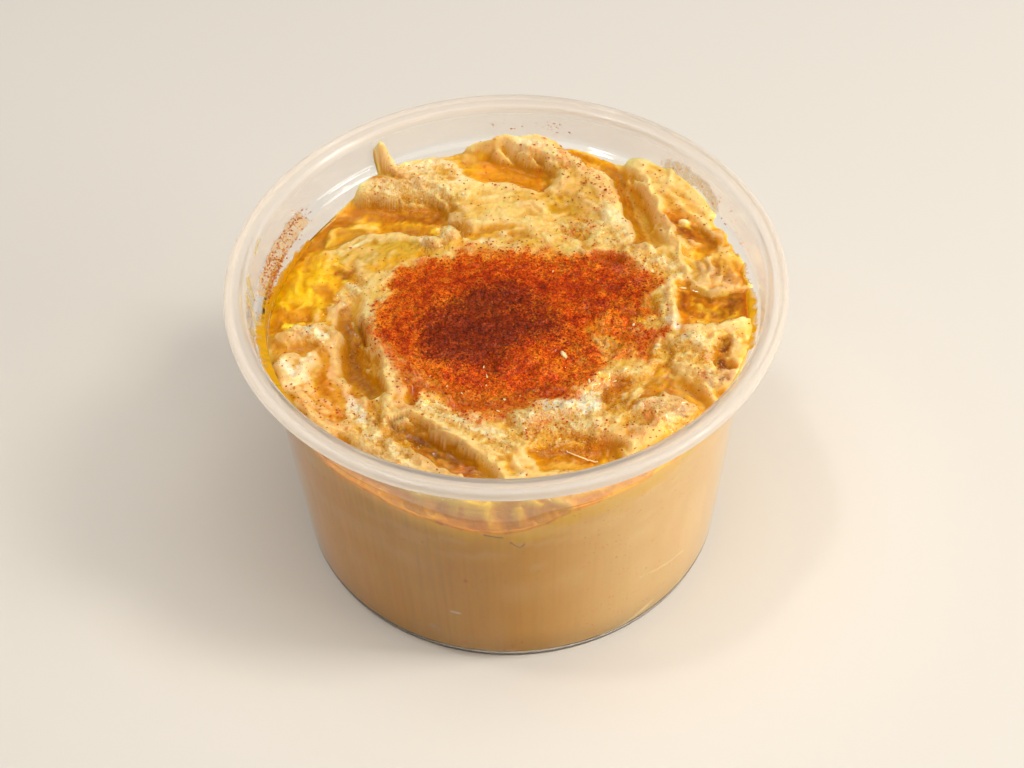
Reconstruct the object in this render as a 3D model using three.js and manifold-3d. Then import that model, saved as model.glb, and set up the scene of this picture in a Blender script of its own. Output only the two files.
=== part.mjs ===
// Hummus in its clear deli pot: pot, spooned surface, oil pools and paprika.
// Millimetres, +Z up. The origin is the middle of the pot's flat base.

import * as THREE from 'three';
import { mergeVertices } from 'three/addons/utils/BufferGeometryUtils.js';
import Module from 'manifold-3d';

const wasm = await Module();
wasm.setup();

// ---------- driving dimensions ----------

const potHeight = 71.4;
const rimRadius = 58.5;
const baseRadius = 46.9;
const wallDraft = 0.0761; // growth in radius for each millimetre of height
const wallThickness = 0.7;
const floorThickness = 0.9;
const cornerRadius = 2.6;
const ledgeDrop = 8.8; // stacking ledge below the rim
const ledgeWidth = 2.1;
const skirtDepth = 3.2;
const potSides = 56;

const gap = 0.3; // between pieces that touch
const gridStep = 2; // spacing of the food's surface grid
const meanLevel = 60.4; // hummus surface at the middle of the pot
const tiltX = 0.045; // the food stands higher on the right
const tiltY = 0.012;
const paprikaCore = 1.3; // thickness of the heap of paprika
const paprikaEdge = 0.55;

const foodSpan = 112; // side of the square grid, wider than the pot's inside
const blockFloor = -5; // underside of the block that the pot's inside trims

// ---------- small helpers ----------

function solidFrom(geometry) {
  geometry.deleteAttribute('normal');
  geometry.deleteAttribute('uv');
  const merged = mergeVertices(geometry, 1e-4);
  return new wasm.Manifold(new wasm.Mesh({
    numProp: 3,
    vertProperties: new Float32Array(merged.attributes.position.array),
    triVerts: new Uint32Array(merged.index.array),
  }));
}

function geometryFrom(solid) {
  const mesh = solid.getMesh();
  const geometry = new THREE.BufferGeometry();
  geometry.setAttribute('position', new THREE.BufferAttribute(mesh.vertProperties, 3));
  geometry.setIndex(new THREE.BufferAttribute(mesh.triVerts, 1));
  geometry.computeVertexNormals();
  return geometry;
}

function named(name, geometry, color, roughness, opacity = 1) {
  const material = new THREE.MeshStandardMaterial({
    color,
    roughness,
    metalness: 0,
    transparent: opacity < 1,
    opacity,
  });
  const mesh = new THREE.Mesh(geometry, material);
  mesh.name = name;
  return mesh;
}

function lathe(profile) {
  // a lathe about Y, turned so that its axis is Z
  const points = profile.map(([r, z]) => new THREE.Vector2(r, z));
  return new THREE.LatheGeometry(points, potSides).rotateX(Math.PI / 2);
}

function fillet(centreR, centreZ, radius, fromDeg, toDeg, steps) {
  const points = [];
  for (let i = 0; i <= steps; i += 1) {
    const angle = THREE.MathUtils.degToRad(fromDeg + ((toDeg - fromDeg) * i) / steps);
    points.push([centreR + radius * Math.cos(angle), centreZ + radius * Math.sin(angle)]);
  }
  return points;
}

// ---------- the pot ----------

const ledgeZ = potHeight - ledgeDrop;

function outerWall(z) {
  return baseRadius + wallDraft * z;
}

function innerWall(z) {
  return outerWall(z) - wallThickness;
}

const upperInner = innerWall(ledgeZ) + ledgeWidth; // inside radius just above the ledge
const lipInner = upperInner + 1.1; // inside radius at the rim
const beadRadius = 0.85;

function potProfile() {
  const outerCorner = baseRadius + wallDraft * cornerRadius - cornerRadius;
  const innerCorner = innerWall(floorThickness + cornerRadius) - cornerRadius;
  const skirtZ = potHeight - skirtDepth;
  return [
    [0, 0],
    ...fillet(outerCorner, cornerRadius, cornerRadius, -90, 0, 4),
    [outerWall(ledgeZ - 0.7), ledgeZ - 0.7],
    [upperInner + wallThickness - 0.3, ledgeZ + 0.3],
    [upperInner + wallThickness, ledgeZ + 1],
    [lipInner + wallThickness - 0.3, potHeight - 2.2],
    [lipInner + wallThickness + 0.5, potHeight - 1.1],
    [rimRadius - 1.7, potHeight - 1.1],
    [rimRadius - 1.5, potHeight - 1.6],
    [rimRadius - 1.5, skirtZ],
    [rimRadius - 0.8, skirtZ],
    [rimRadius - 0.1, potHeight - 1.6],
    ...fillet(rimRadius - beadRadius, potHeight - beadRadius, beadRadius, 0, 150, 5),
    [rimRadius - 2.3, potHeight - 0.4],
    [lipInner + 0.5, potHeight - 0.15],
    [lipInner, potHeight - 0.6],
    [upperInner, ledgeZ + 1.3],
    [upperInner - 0.5, ledgeZ + 0.5],
    [innerWall(ledgeZ), ledgeZ - 0.2],
    ...fillet(innerCorner, floorThickness + cornerRadius, cornerRadius, 0, -90, 4),
    [0, floorThickness],
  ];
}

function potInside() {
  // the space that the food can fill, one gap clear of the pot
  const bottom = floorThickness + gap;
  const corner = innerWall(bottom + cornerRadius) - gap - cornerRadius;
  return solidFrom(lathe([
    [0, bottom],
    ...fillet(corner, bottom + cornerRadius, cornerRadius, -90, 0, 4),
    [innerWall(ledgeZ) - gap, ledgeZ - 0.2 + gap],
    [upperInner - 0.5 - gap, ledgeZ + 0.5 + gap],
    [upperInner - gap, ledgeZ + 1.3 + gap],
    [lipInner - gap, potHeight - 0.6],
    [0, potHeight - 0.6],
  ]));
}

// ---------- the spooned surface ----------
// Each stroke pulls the surface to the heights along its path. Its reach is how far to
// the left and to the right of the path it works, flat the share of that at full
// strength, and crest sharpens it from a round swell (0) to a pointed ridge (1).

const strokes = [
  { name: 'left pool bed', path: [[-46, 2, 55.5], [-46, 14, 55.3], [-40, 24, 56], [-32, 31, 55.8],
    [-22, 31, 56], [-10, 30.5, 57], [2, 27, 59.2]], reach: [7.5, 7.5], flat: 0.35 },
  { name: 'left pool middle', path: [[-44, 10, 55.8], [-38, 14, 56.2]], reach: [9, 9], flat: 0.3 },
  { name: 'front hem', path: [[-44, -25, 54.5], [-30, -42, 53.5], [-14, -50, 51], [-2, -51, 49.3],
    [6, -51, 51.5], [14, -50, 55], [30, -42, 57.3], [42, -30, 57.5]], reach: [6.5, 6.5],
    flat: 0.25 },
  { name: 'smooth lobe', path: [[-38, 22, 58], [-30, 23.5, 59], [-22, 21, 59.5]], reach: [4.5, 9],
    crest: 0.3 },
  { name: 'back left shelf', path: [[-27, 42.5, 62], [-20, 43, 62.5], [-12, 42, 62.3],
    [-7, 38, 61.8]], reach: [7, 9], flat: 0.4 },
  { name: 'foot of the shelf', path: [[-31, 33, 57], [-22, 32, 56.8], [-12, 31, 57.4]],
    reach: [4.5, 5], flat: 0.2 },
  { name: 'terrace', path: [[-6, 32, 61], [4, 32, 61.5], [12, 27, 61.5], [20, 23, 61.5]],
    reach: [9, 9], flat: 0.4, strength: 0.85 },
  { name: 'back rim of the bowl', path: [[-6, 50, 64], [0, 50, 66.3], [7, 49, 66.3], [13, 49, 65]],
    reach: [5, 3.6], crest: 0.45 },
  { name: 'back swell', path: [[6.5, 48, 66], [12, 45.5, 65.6], [17, 42, 65.2], [22, 38, 64.6],
    [24.6, 32, 64], [26, 27, 63.4], [28, 21, 62.6]], reach: [3.5, 12], crest: 0.35 },
  { name: 'back bowl', path: [[-6, 44.4, 60.6], [-1, 43, 59.3], [4, 41.4, 58.8], [8.5, 39.4, 59.8]],
    reach: [6, 4], flat: 0.15 },
  { name: 'crease behind the swell', path: [[12, 50.5, 62], [20, 46.5, 62], [25.5, 41, 61]],
    reach: [3, 2.2], flat: 0.1 },
  { name: 'right groove', path: [[26.5, 39.5, 60.2], [28.5, 33, 59.6], [30, 26, 59.6],
    [31, 19, 60.6]], reach: [3.4, 3.6], flat: 0.3 },
  { name: 'bank at the right back', path: [[33, 41, 64.6], [40, 33, 64.6], [46.5, 25, 62.8]],
    reach: [8, 6.5], flat: 0.2 },
  { name: 'thin crest', path: [[31.2, 38, 64.3], [32.6, 33, 64.6], [34, 27.5, 64.7],
    [35.2, 22, 64.3], [37, 16, 63.7], [38.4, 10, 63.2], [39, 6.5, 63]], reach: [3.4, 2.2],
    crest: 0.5 },
  { name: 'valley right of the crest', path: [[37.5, 25, 61.6], [41.5, 21, 60.9], [44.5, 18, 61],
    [42, 14.5, 61.3], [39.5, 15.5, 62]], reach: [3, 3.2], flat: 0.25 },
  { name: 'bank along the right wall', path: [[47.5, 23, 62.4], [50, 15, 62.6]], reach: [3, 3.2],
    flat: 0.2 },
  { name: 'right mound', path: [[42.5, 6.8, 63.2], [50, 6.5, 62.7]], reach: [5.5, 5.2],
    flat: 0.25 },
  { name: 'bank left of the right pool', path: [[36.2, 6, 63], [34.2, 1, 63.4], [34, -4, 63.5],
    [36, -9.5, 63.3]], reach: [3, 3.2], flat: 0.1 },
  { name: 'right pool bed', path: [[38.6, 0, 60.4], [44, -2.3, 60.2], [50, -2, 60.2]],
    reach: [5, 4.6], flat: 0.45 },
  { name: 'lump in the right pool', path: [[40.5, -1.5, 61.2], [44, -3.5, 60.6]], reach: [2.8, 2.6],
    flat: 0.1 },
  { name: 'bank below the right pool', path: [[36, -10.5, 63.2], [42, -10.8, 63.8],
    [50, -10.3, 63]], reach: [4, 6], flat: 0.2 },
  { name: 'right lumps', path: [[36, -17, 62.2], [41, -19, 62]], reach: [4.5, 5], flat: 0.2 },
  { name: 'crevice', path: [[45.5, -12.5, 60.8], [44, -15.6, 60], [45.4, -19, 59.6]],
    reach: [1.8, 2.2] },
  { name: 'right front hollow', path: [[31, -20.5, 60.3], [35.5, -23.5, 58], [39, -26, 57.5]],
    reach: [4, 4.2], flat: 0.2 },
  { name: 'wet hollow', path: [[19, -25, 59.8], [24, -22.5, 59.6], [29, -23, 59.8]],
    reach: [4.5, 4.5], flat: 0.3 },
  { name: 'torn crest', path: [[4, -27.5, 62], [10, -27, 62.2], [16, -27.5, 61.6]],
    reach: [3.2, 7.5], crest: 0.2, flat: 0.1 },
  { name: 'slope below the torn crest', path: [[-3, -34, 59.4], [5, -34, 59.4], [13, -32.5, 59.6]],
    reach: [4, 4], flat: 0.2, strength: 0.8 },
  { name: 'front basin', path: [[8, -38.5, 57], [14, -37.5, 56.6], [19, -38.5, 57]],
    reach: [4.5, 7], flat: 0.25 },
  { name: 'front tongue', path: [[-3, -38, 59.6], [1, -42, 58.4]], reach: [3.6, 3.2], crest: 0.3 },
  { name: 'right front mound', path: [[25, -29.5, 61.2], [29.5, -28, 62.1], [33.5, -30, 61.4],
    [36, -33, 60]], reach: [3.5, 8], crest: 0.3 },
  { name: 'left groove', path: [[-33, 9, 58.5], [-33, 2, 56.3], [-33, -5, 55], [-31.5, -12, 55],
    [-28.5, -19, 56.3]], reach: [3.8, 4.5], flat: 0.15 },
  { name: 'left hill', path: [[-46, -4, 59.8], [-41, -3, 60.4], [-37.5, -5, 60]], reach: [4, 5],
    flat: 0.2 },
  { name: 'left front hill', path: [[-44.5, -13, 60.8], [-42, -20, 59.8], [-36, -28, 59]],
    reach: [4.5, 6], flat: 0.3 },
  { name: 'cliff of the plateau', path: [[-30.4, -1, 60.8], [-28.9, -6, 61.6], [-27, -12, 61.9],
    [-25.4, -17.5, 61.8], [-24.6, -22.5, 61.3], [-24.6, -26.5, 60.6]], reach: [14, 1.2],
    crest: 0.25 },
  { name: 'plateau', path: [[-10, -2, 61.5], [6, 2, 61.2]], reach: [17, 17], flat: 0.2,
    strength: 0.8 },
  { name: 'hole at the cliff', path: [[-31.9, -1, 55.5], [-31.2, -4, 54.5]], reach: [1.5, 1.5],
    flat: 0.2 },
  { name: 'small hollow', path: [[-19.5, -20.5, 59.2], [-19.5, -23, 59]], reach: [2.3, 2.3],
    flat: 0.1 },
  { name: 'spoon pit', path: [[-22, -30.6, 57.8], [-18, -33.2, 56.2], [-13, -37, 55.8],
    [-8, -40.5, 55.6], [-5, -45, 54.5]], reach: [3.6, 4.4], flat: 0.3 },
  { name: 'lip of the pit', path: [[-23, -28.6, 60.9], [-19, -27.8, 61.3], [-14, -31.7, 61.3],
    [-10, -35.2, 60.6], [-5.5, -37.2, 60]], reach: [3.2, 1.3], crest: 0.25 },
  { name: 'round lumps', path: [[24.5, 13, 62.6], [30, 15.5, 63.2]], reach: [3.3, 3.5], flat: 0.2 },
  { name: 'low lumps', path: [[29.5, 10.8, 62.4], [33, 12.5, 62.8]], reach: [2.6, 2.8], flat: 0.2 },
  { name: 'hollow by the lumps', path: [[20.5, 14.5, 60], [24.5, 13.2, 60.1]], reach: [2.2, 2.2],
    flat: 0.2 },
  { name: 'notch', path: [[36.5, 4.5, 61.2], [38.5, 4, 61.4]], reach: [1.8, 1.8], flat: 0.2 },
  { name: 'torn lump', path: [[-12.3, 24.2, 61.6], [-11.8, 24.4, 61.6]], reach: [2.4, 2.4],
    flat: 0.3 },
  { name: 'small torn lump', path: [[-16.2, 22.3, 61], [-15.8, 22.3, 61]], reach: [2.2, 2.2],
    flat: 0.3 },
  { name: 'horn', path: [[-28.9, 44.6, 67.2], [-27.6, 44.9, 68], [-26.6, 44.6, 66.9],
    [-25.2, 44, 65.2], [-23, 43, 63.9], [-20, 42, 62.9]], reach: [1.4, 1.8], flat: 0.4 },
];

const samplesPerSpan = 6;

for (const stroke of strokes) {
  const points = stroke.path.map(([x, y, z]) => new THREE.Vector3(x, y, z));
  const curve = new THREE.CatmullRomCurve3(points, false, 'catmullrom', 0.5);
  stroke.samples = curve.getPoints(samplesPerSpan * (points.length - 1));
}

function nearestOnPath(samples, x, y) {
  // distance to the path, its height there, and -1 (right) to 1 (left) for the side
  let nearest = { distance: Infinity, height: 0, side: 0 };
  for (let i = 1; i < samples.length; i += 1) {
    const start = samples[i - 1];
    const dx = samples[i].x - start.x;
    const dy = samples[i].y - start.y;
    const length = Math.hypot(dx, dy);
    const along = ((x - start.x) * dx + (y - start.y) * dy) / (length * length);
    const t = THREE.MathUtils.clamp(along, 0, 1);
    const offX = x - start.x - dx * t;
    const offY = y - start.y - dy * t;
    const distance = Math.hypot(offX, offY);
    if (distance < nearest.distance) {
      const side = (dx * offY - dy * offX) / (length * Math.max(distance, 1e-6));
      nearest = { distance, height: THREE.MathUtils.lerp(start.z, samples[i].z, t), side };
    }
  }
  return nearest;
}

function hashed(i, j, seed) {
  const value = Math.sin(i * 127.1 + j * 311.7 + seed * 74.7) * 43758.5453;
  return value - Math.floor(value);
}

function noise(x, y, seed) {
  // smooth value noise from 0 to 1
  const i = Math.floor(x);
  const j = Math.floor(y);
  const u = THREE.MathUtils.smoothstep(x - i, 0, 1);
  const v = THREE.MathUtils.smoothstep(y - j, 0, 1);
  const near = THREE.MathUtils.lerp(hashed(i, j, seed), hashed(i + 1, j, seed), u);
  const far = THREE.MathUtils.lerp(hashed(i, j + 1, seed), hashed(i + 1, j + 1, seed), u);
  return THREE.MathUtils.lerp(near, far, v);
}

const unevenness = [
  { height: 0.55, size: 7, seed: 3 },
  { height: 0.35, size: 3.4, seed: 5 },
];

function surfaceHeight(x, y) {
  let z = meanLevel + tiltX * x + tiltY * y;
  for (const { samples, reach, crest = 0, flat = 0, strength = 1 } of strokes) {
    const { distance, height, side } = nearestOnPath(samples, x, y);
    const reachHere = THREE.MathUtils.lerp(reach[1], reach[0], 0.5 + 0.5 * side);
    const t = THREE.MathUtils.clamp((distance / reachHere - flat) / (1 - flat), 0, 1);
    const round = (1 - t * t) ** 2;
    const pointed = (1 - t) ** 2;
    z = THREE.MathUtils.lerp(z, height, THREE.MathUtils.lerp(round, pointed, crest) * strength);
  }
  for (const { height, size, seed } of unevenness) {
    z += height * (noise(x / size, y / size, seed) - 0.5);
  }
  return z;
}

// ---------- the food, below its surface ----------

const cells = Math.round(foodSpan / gridStep);

function block(raiseAt) {
  // everything under the surface, raised by an amount that may change from place to place
  const box = new THREE.BoxGeometry(foodSpan, foodSpan, 2, cells, cells, 1);
  const position = box.attributes.position;
  for (let i = 0; i < position.count; i += 1) {
    const x = position.getX(i);
    const y = position.getY(i);
    const top = position.getZ(i) > 0;
    position.setZ(i, top ? surfaceHeight(x, y) + raiseAt(x, y) : blockFloor);
  }
  return solidFrom(box);
}

const inside = potInside();
const foodBlock = block(() => 0);
const hummus = foodBlock.intersect(inside);

// ---------- oil, up to each pool's level ----------

const pools = [
  { name: 'oil_left', level: 57.5, seed: [-46, 10], color: 0xd99a14 },
  { name: 'oil_back', level: 60.1, seed: [2, 42.3], color: 0xb8670c },
  { name: 'oil_right', level: 61.8, seed: [47, -2], color: 0xd07f10 },
  { name: 'oil_right_back', level: 61.7, seed: [44, 18.5], color: 0xc4740f },
  { name: 'oil_front', level: 55.8, seed: [-8, -47], color: 0xa8650f },
];

const raisedFood = foodBlock.translate([0, 0, gap]);

function poolSolid({ level, seed }) {
  const slab = new THREE.BoxGeometry(foodSpan, foodSpan, level - blockFloor);
  slab.translate(0, 0, (level + blockFloor) / 2);
  const oil = solidFrom(slab).intersect(inside).subtract(raisedFood);
  const probe = new THREE.BoxGeometry(0.4, 0.4, 0.4);
  probe.translate(seed[0], seed[1], level - 0.25);
  const marker = solidFrom(probe);
  return oil.decompose().find((piece) => piece.intersect(marker).volume() > 0);
}

// ---------- the paprika layer ----------

const paprikaOutline = [[-28.6, -4], [-29, 3], [-27, 12], [-20, 17], [-12, 19.5], [0, 20], [12, 19],
  [19, 16], [26, 9], [32, 7.5], [31, 3.5], [31, -6], [26, -12], [20, -18], [10, -22.5], [1, -23.5],
  [-6, -26], [-12, -23.5], [-17, -18], [-22.5, -13]];
const paprikaCentre = new THREE.Vector2(-6, -3);
const paprikaCoreRadius = 15;

function paprikaThickness(x, y) {
  const away = Math.hypot(x - paprikaCentre.x, y - paprikaCentre.y) / paprikaCoreRadius;
  const heap = 1 - THREE.MathUtils.smoothstep(away, 0.5, 1.6);
  return THREE.MathUtils.lerp(paprikaEdge, paprikaCore, heap);
}

function paprikaSolid() {
  const loop = new THREE.SplineCurve(
    [...paprikaOutline, paprikaOutline[0]].map(([x, y]) => new THREE.Vector2(x, y)),
  );
  const shape = new THREE.Shape(loop.getPoints(paprikaOutline.length * 2));
  const prism = new THREE.ExtrudeGeometry(shape, { depth: potHeight, bevelEnabled: false });
  const layer = block((x, y) => gap + paprikaThickness(x, y)).subtract(raisedFood);
  return layer.intersect(solidFrom(prism));
}

// ---------- the whole part ----------

const part = new THREE.Group();
part.add(named('cup', lathe(potProfile()), 0xe9e4dc, 0.3, 0.35));
part.add(named('hummus', geometryFrom(hummus), 0xe3bd7c, 0.55));
for (const pool of pools) {
  part.add(named(pool.name, geometryFrom(poolSolid(pool)), pool.color, 0.08, 0.8));
}
part.add(named('paprika', geometryFrom(paprikaSolid()), 0xb0400f, 0.85));

export default part;
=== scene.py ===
import math
import bpy
import numpy as np
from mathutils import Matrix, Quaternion, Vector


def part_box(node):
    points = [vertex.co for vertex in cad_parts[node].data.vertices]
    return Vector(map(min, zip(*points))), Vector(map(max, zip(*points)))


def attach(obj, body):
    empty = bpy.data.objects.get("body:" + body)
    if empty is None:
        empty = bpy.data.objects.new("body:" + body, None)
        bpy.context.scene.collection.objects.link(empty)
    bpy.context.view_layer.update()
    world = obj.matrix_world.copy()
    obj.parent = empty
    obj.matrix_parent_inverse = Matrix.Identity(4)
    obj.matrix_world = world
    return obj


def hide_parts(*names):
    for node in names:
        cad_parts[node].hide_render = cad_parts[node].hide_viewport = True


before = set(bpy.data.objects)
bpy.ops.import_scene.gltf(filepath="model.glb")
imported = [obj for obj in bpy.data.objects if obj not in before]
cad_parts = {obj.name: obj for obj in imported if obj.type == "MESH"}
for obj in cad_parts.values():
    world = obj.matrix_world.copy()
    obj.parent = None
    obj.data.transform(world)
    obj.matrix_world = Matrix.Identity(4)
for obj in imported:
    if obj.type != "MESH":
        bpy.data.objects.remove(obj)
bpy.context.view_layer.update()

potLow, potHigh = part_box("cup")
mm = 0.001
potHeight = potHigh.z / mm
rimRadius = potHigh.x / mm
print("frame loaded: pot", round(2 * rimRadius, 1), "mm across,", round(potHeight, 1), "mm tall")


def srgb(red, green, blue):
    # 0 to 255 screen values to the linear colour that the shaders take
    parts = []
    for value in (red, green, blue):
        c = value / 255
        parts.append(c / 12.92 if c <= 0.04045 else ((c + 0.055) / 1.055) ** 2.4)
    return (*parts, 1.0)


def smooth(low, high, value):
    # 0 at low, 1 at high and smooth between, also where low is above high
    t = np.clip((value - low) / (high - low), 0, 1)
    return t * t * (3 - 2 * t)


def hashed(i, j, seed):
    value = np.sin(i * 127.1 + j * 311.7 + seed * 74.7) * 43758.5453
    return value - np.floor(value)


def noise(x, y, seed):
    # smooth value noise from 0 to 1, the same as in the solids
    i, j = np.floor(x), np.floor(y)
    u, v = smooth(0, 1, x - i), smooth(0, 1, y - j)
    near = hashed(i, j, seed) * (1 - u) + hashed(i + 1, j, seed) * u
    far = hashed(i, j + 1, seed) * (1 - u) + hashed(i + 1, j + 1, seed) * u
    return near * (1 - v) + far * v


def curvePoints(path, perSpan=6):
    # uniform Catmull-Rom through the points, with mirrored ends
    p = np.array(path, float)
    p = np.vstack([2 * p[0] - p[1], p, 2 * p[-1] - p[-2]])
    t = np.arange(perSpan)[:, None] / perSpan
    rows = []
    for a, b, c, d in zip(p[:-3], p[1:-2], p[2:-1], p[3:]):
        rows.append(0.5 * (2 * b + (c - a) * t + (2 * a - 5 * b + 4 * c - d) * t ** 2
                           + (3 * b - a - 3 * c + d) * t ** 3))
    return np.vstack(rows + [p[-2:-1]])


def nearPath(path, x, y, reach):
    # the points within reach of the path: which they are, how far away, on which side
    # (-1 right, 1 left), the path's last value there and how far along it they are
    samples = curvePoints(path)
    low, high = samples[:, :2].min(0) - reach, samples[:, :2].max(0) + reach
    picked = np.nonzero((x > low[0]) & (x < high[0]) & (y > low[1]) & (y < high[1]))[0]
    px, py = x[picked], y[picked]
    best = np.full(px.shape, 1e9)
    side, value, along = np.zeros(px.shape), np.zeros(px.shape), np.zeros(px.shape)
    travelled = 0.0
    for start, end in zip(samples[:-1], samples[1:]):
        dx, dy = end[0] - start[0], end[1] - start[1]
        length = math.hypot(dx, dy)
        t = np.clip(((px - start[0]) * dx + (py - start[1]) * dy) / length ** 2, 0, 1)
        offX, offY = px - start[0] - dx * t, py - start[1] - dy * t
        distance = np.hypot(offX, offY)
        closer = distance < best
        turned = (dx * offY - dy * offX) / (length * np.maximum(distance, 1e-6))
        best = np.where(closer, distance, best)
        side = np.where(closer, turned, side)
        value = np.where(closer, start[-1] + (end[-1] - start[-1]) * t, value)
        along = np.where(closer, travelled + length * t, along)
        travelled += length
    return picked, best, side, value, along


def ringQuads(rings, sides, first=0):
    # the quads between closed rings of points, ring by ring
    quadRows = []
    for ring in range(rings - 1):
        for k in range(sides):
            a, b = first + ring * sides + k, first + ring * sides + (k + 1) % sides
            quadRows.append((a, b, b + sides, a + sides))
    return quadRows


def halved(quadRows):
    # each quad as two triangles
    return [half for a, b, c, d in quadRows for half in ((a, b, c), (a, c, d))]


def joined(parts):
    # one list of points and one of faces from several (points, faces)
    starts = np.cumsum([0] + [len(points) for points, faces in parts])
    return (np.vstack([points for points, faces in parts]),
            np.vstack([np.array(faces) + start for (points, faces), start in zip(parts, starts)]))


def meshPiece(name, points, faces, material, slotName, attributes=None, smoothShade=True):
    # points in millimetres; faces as an array or as a list of index tuples
    mesh = bpy.data.meshes.new(name)
    mesh.from_pydata((np.asarray(points) * mm).tolist(), [],
                     faces.tolist() if isinstance(faces, np.ndarray) else faces)
    for attributeName, values in (attributes or {}).items():
        values = np.asarray(values, dtype=np.float32)
        if values.ndim == 1:
            field = mesh.attributes.new(attributeName, "FLOAT", "POINT")
            field.data.foreach_set("value", values)
        else:
            opaque = np.hstack([values, np.ones((len(values), 1), np.float32)])
            field = mesh.attributes.new(attributeName, "FLOAT_COLOR", "POINT")
            field.data.foreach_set("color", opaque.ravel())
    mesh.validate()
    if smoothShade:
        mesh.shade_smooth()
    piece = bpy.data.objects.new(name, mesh)
    bpy.context.scene.collection.objects.link(piece)
    mesh.materials.append(material)
    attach(piece, "root")
    return piece


class Nodes:
    # a short way to write a node tree: each method adds a node and gives back its output
    def __init__(self, name):
        self.material = bpy.data.materials.new(name)
        self.material.use_nodes = True
        self.tree = self.material.node_tree
        self.tree.nodes.clear()
        self.out = self.tree.nodes.new("ShaderNodeOutputMaterial")

    def put(self, socket, value):
        if isinstance(value, bpy.types.NodeSocket):
            self.tree.links.new(value, socket)
        else:
            socket.default_value = value

    def add(self, kind, output=0, settings=None, **inputs):
        node = self.tree.nodes.new("ShaderNode" + kind)
        for key, value in (settings or {}).items():
            setattr(node, key, value)
        for key, value in inputs.items():
            socket = node.inputs[int(key[1:])] if key[0] == "i" and key[1:].isdigit() \
                else node.inputs[key.replace("_", " ")]
            self.put(socket, value)
        return node.outputs[output]

    def math(self, operation, a, b, third=0.0):
        return self.add("Math", settings={"operation": operation}, i0=a, i1=b, i2=third)

    def mix(self, factor, a, b, blend="MIX"):
        node = self.tree.nodes.new("ShaderNodeMix")
        node.data_type = "RGBA"
        node.blend_type = blend
        self.put(node.inputs[0], factor)
        self.put(node.inputs[6], a)
        self.put(node.inputs[7], b)
        return node.outputs[2]

    def band(self, value, low, high):
        # 0 below low, 1 above high, smooth between
        node = self.tree.nodes.new("ShaderNodeMapRange")
        node.interpolation_type = "SMOOTHSTEP"
        self.put(node.inputs[0], value)
        node.inputs[1].default_value = low
        node.inputs[2].default_value = high
        return node.outputs[0]

    def span(self, value, low, high, toLow, toHigh):
        node = self.tree.nodes.new("ShaderNodeMapRange")
        self.put(node.inputs[0], value)
        for index, limit in enumerate((low, high, toLow, toHigh)):
            node.inputs[index + 1].default_value = limit
        return node.outputs[0]

    def field(self, name):
        return self.add("Attribute", output=2, settings={"attribute_name": name})

    def color(self, name):
        return self.add("Attribute", output=0, settings={"attribute_name": name})

    def parts(self, color):
        # the red, green and blue of a colour
        return self.add("SeparateColor", Color=color).node.outputs

    def scaled(self, color, amount):
        # a colour made lighter or darker
        return self.add("VectorMath", settings={"operation": "SCALE"}, i0=color, i3=amount)

    def sum(self, value, *terms):
        # value plus each term times its share
        for term, share in terms:
            value = self.math("MULTIPLY_ADD", term, share, third=value)
        return value

    def place(self):
        return self.add("TexCoord", output=3)

    def noise(self, size, detail, rough):
        # size in millimetres
        return self.add("TexNoise", Vector=self.place(), Scale=1 / (size * mm), Detail=detail,
                        Roughness=rough)

    def share(self, value, amount):
        return self.math("MULTIPLY", value, amount)

    def cells(self, size):
        # loose cells of that size in millimetres: their distance and their colour's parts
        node = self.add("TexVoronoi", Vector=self.place(), Scale=1 / (size * mm)).node
        return node.outputs["Distance"], self.parts(node.outputs["Color"])

    def blend(self, factor, a, b):
        return self.add("MixShader", i0=factor, i1=a, i2=b)

    def clearToLamps(self, shader, color):
        # the lamps' light passes straight through, so that nothing behind it lies in its shadow
        return self.blend(self.add("LightPath", output=1), shader, self.add("BsdfTransparent", Color=color))

    def surface(self, shader, volume=None):
        self.put(self.out.inputs["Surface"], shader)
        if volume:
            self.put(self.out.inputs["Volume"], volume)
        return self.material

    def bump(self, height, distance, strength=1.0, normal=None):
        inputs = {"Height": height, "Distance": distance * mm, "Strength": strength}
        if normal:
            inputs["Normal"] = normal
        return self.add("Bump", **inputs)


# the pot, in millimetres: its wall leans out from the base to the ledge, lip and rim
potForm = {
    "baseRadius": 46.9,
    "wallDraft": 0.0761,
    "wallThickness": 0.7,
    "floorThickness": 0.9,
    "cornerRadius": 2.6,
    "ledgeDrop": 8.8,
    "ledgeWidth": 2.1,
    "lipGrowth": 1.1,
    "skirtDepth": 3.2,
    "beadRadius": 0.85,
    "sides": 256,
}
ledgeZ = potHeight - potForm["ledgeDrop"]


def outerWall(z):
    return potForm["baseRadius"] + potForm["wallDraft"] * z


def innerWall(z):
    return outerWall(z) - potForm["wallThickness"]


upperInner = innerWall(ledgeZ) + potForm["ledgeWidth"]
lipInner = upperInner + potForm["lipGrowth"]


def potInsideRadius(z):
    corner = potForm["cornerRadius"]
    floor = potForm["floorThickness"]
    heights = [floor, floor + 0.3 * corner, floor + corner, ledgeZ - 0.2, ledgeZ + 0.5,
               ledgeZ + 1.3, potHeight - 0.6]
    radii = [innerWall(floor) - corner, innerWall(floor) - 0.3 * corner, innerWall(floor + corner),
             innerWall(ledgeZ), upperInner - 0.5, upperInner, lipInner]
    return np.interp(z, heights, radii)


def arc(centreR, centreZ, radius, fromDeg, toDeg, steps):
    angles = np.radians(np.linspace(fromDeg, toDeg, steps + 1))
    return [(centreR + radius * math.cos(a), centreZ + radius * math.sin(a)) for a in angles]


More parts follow.
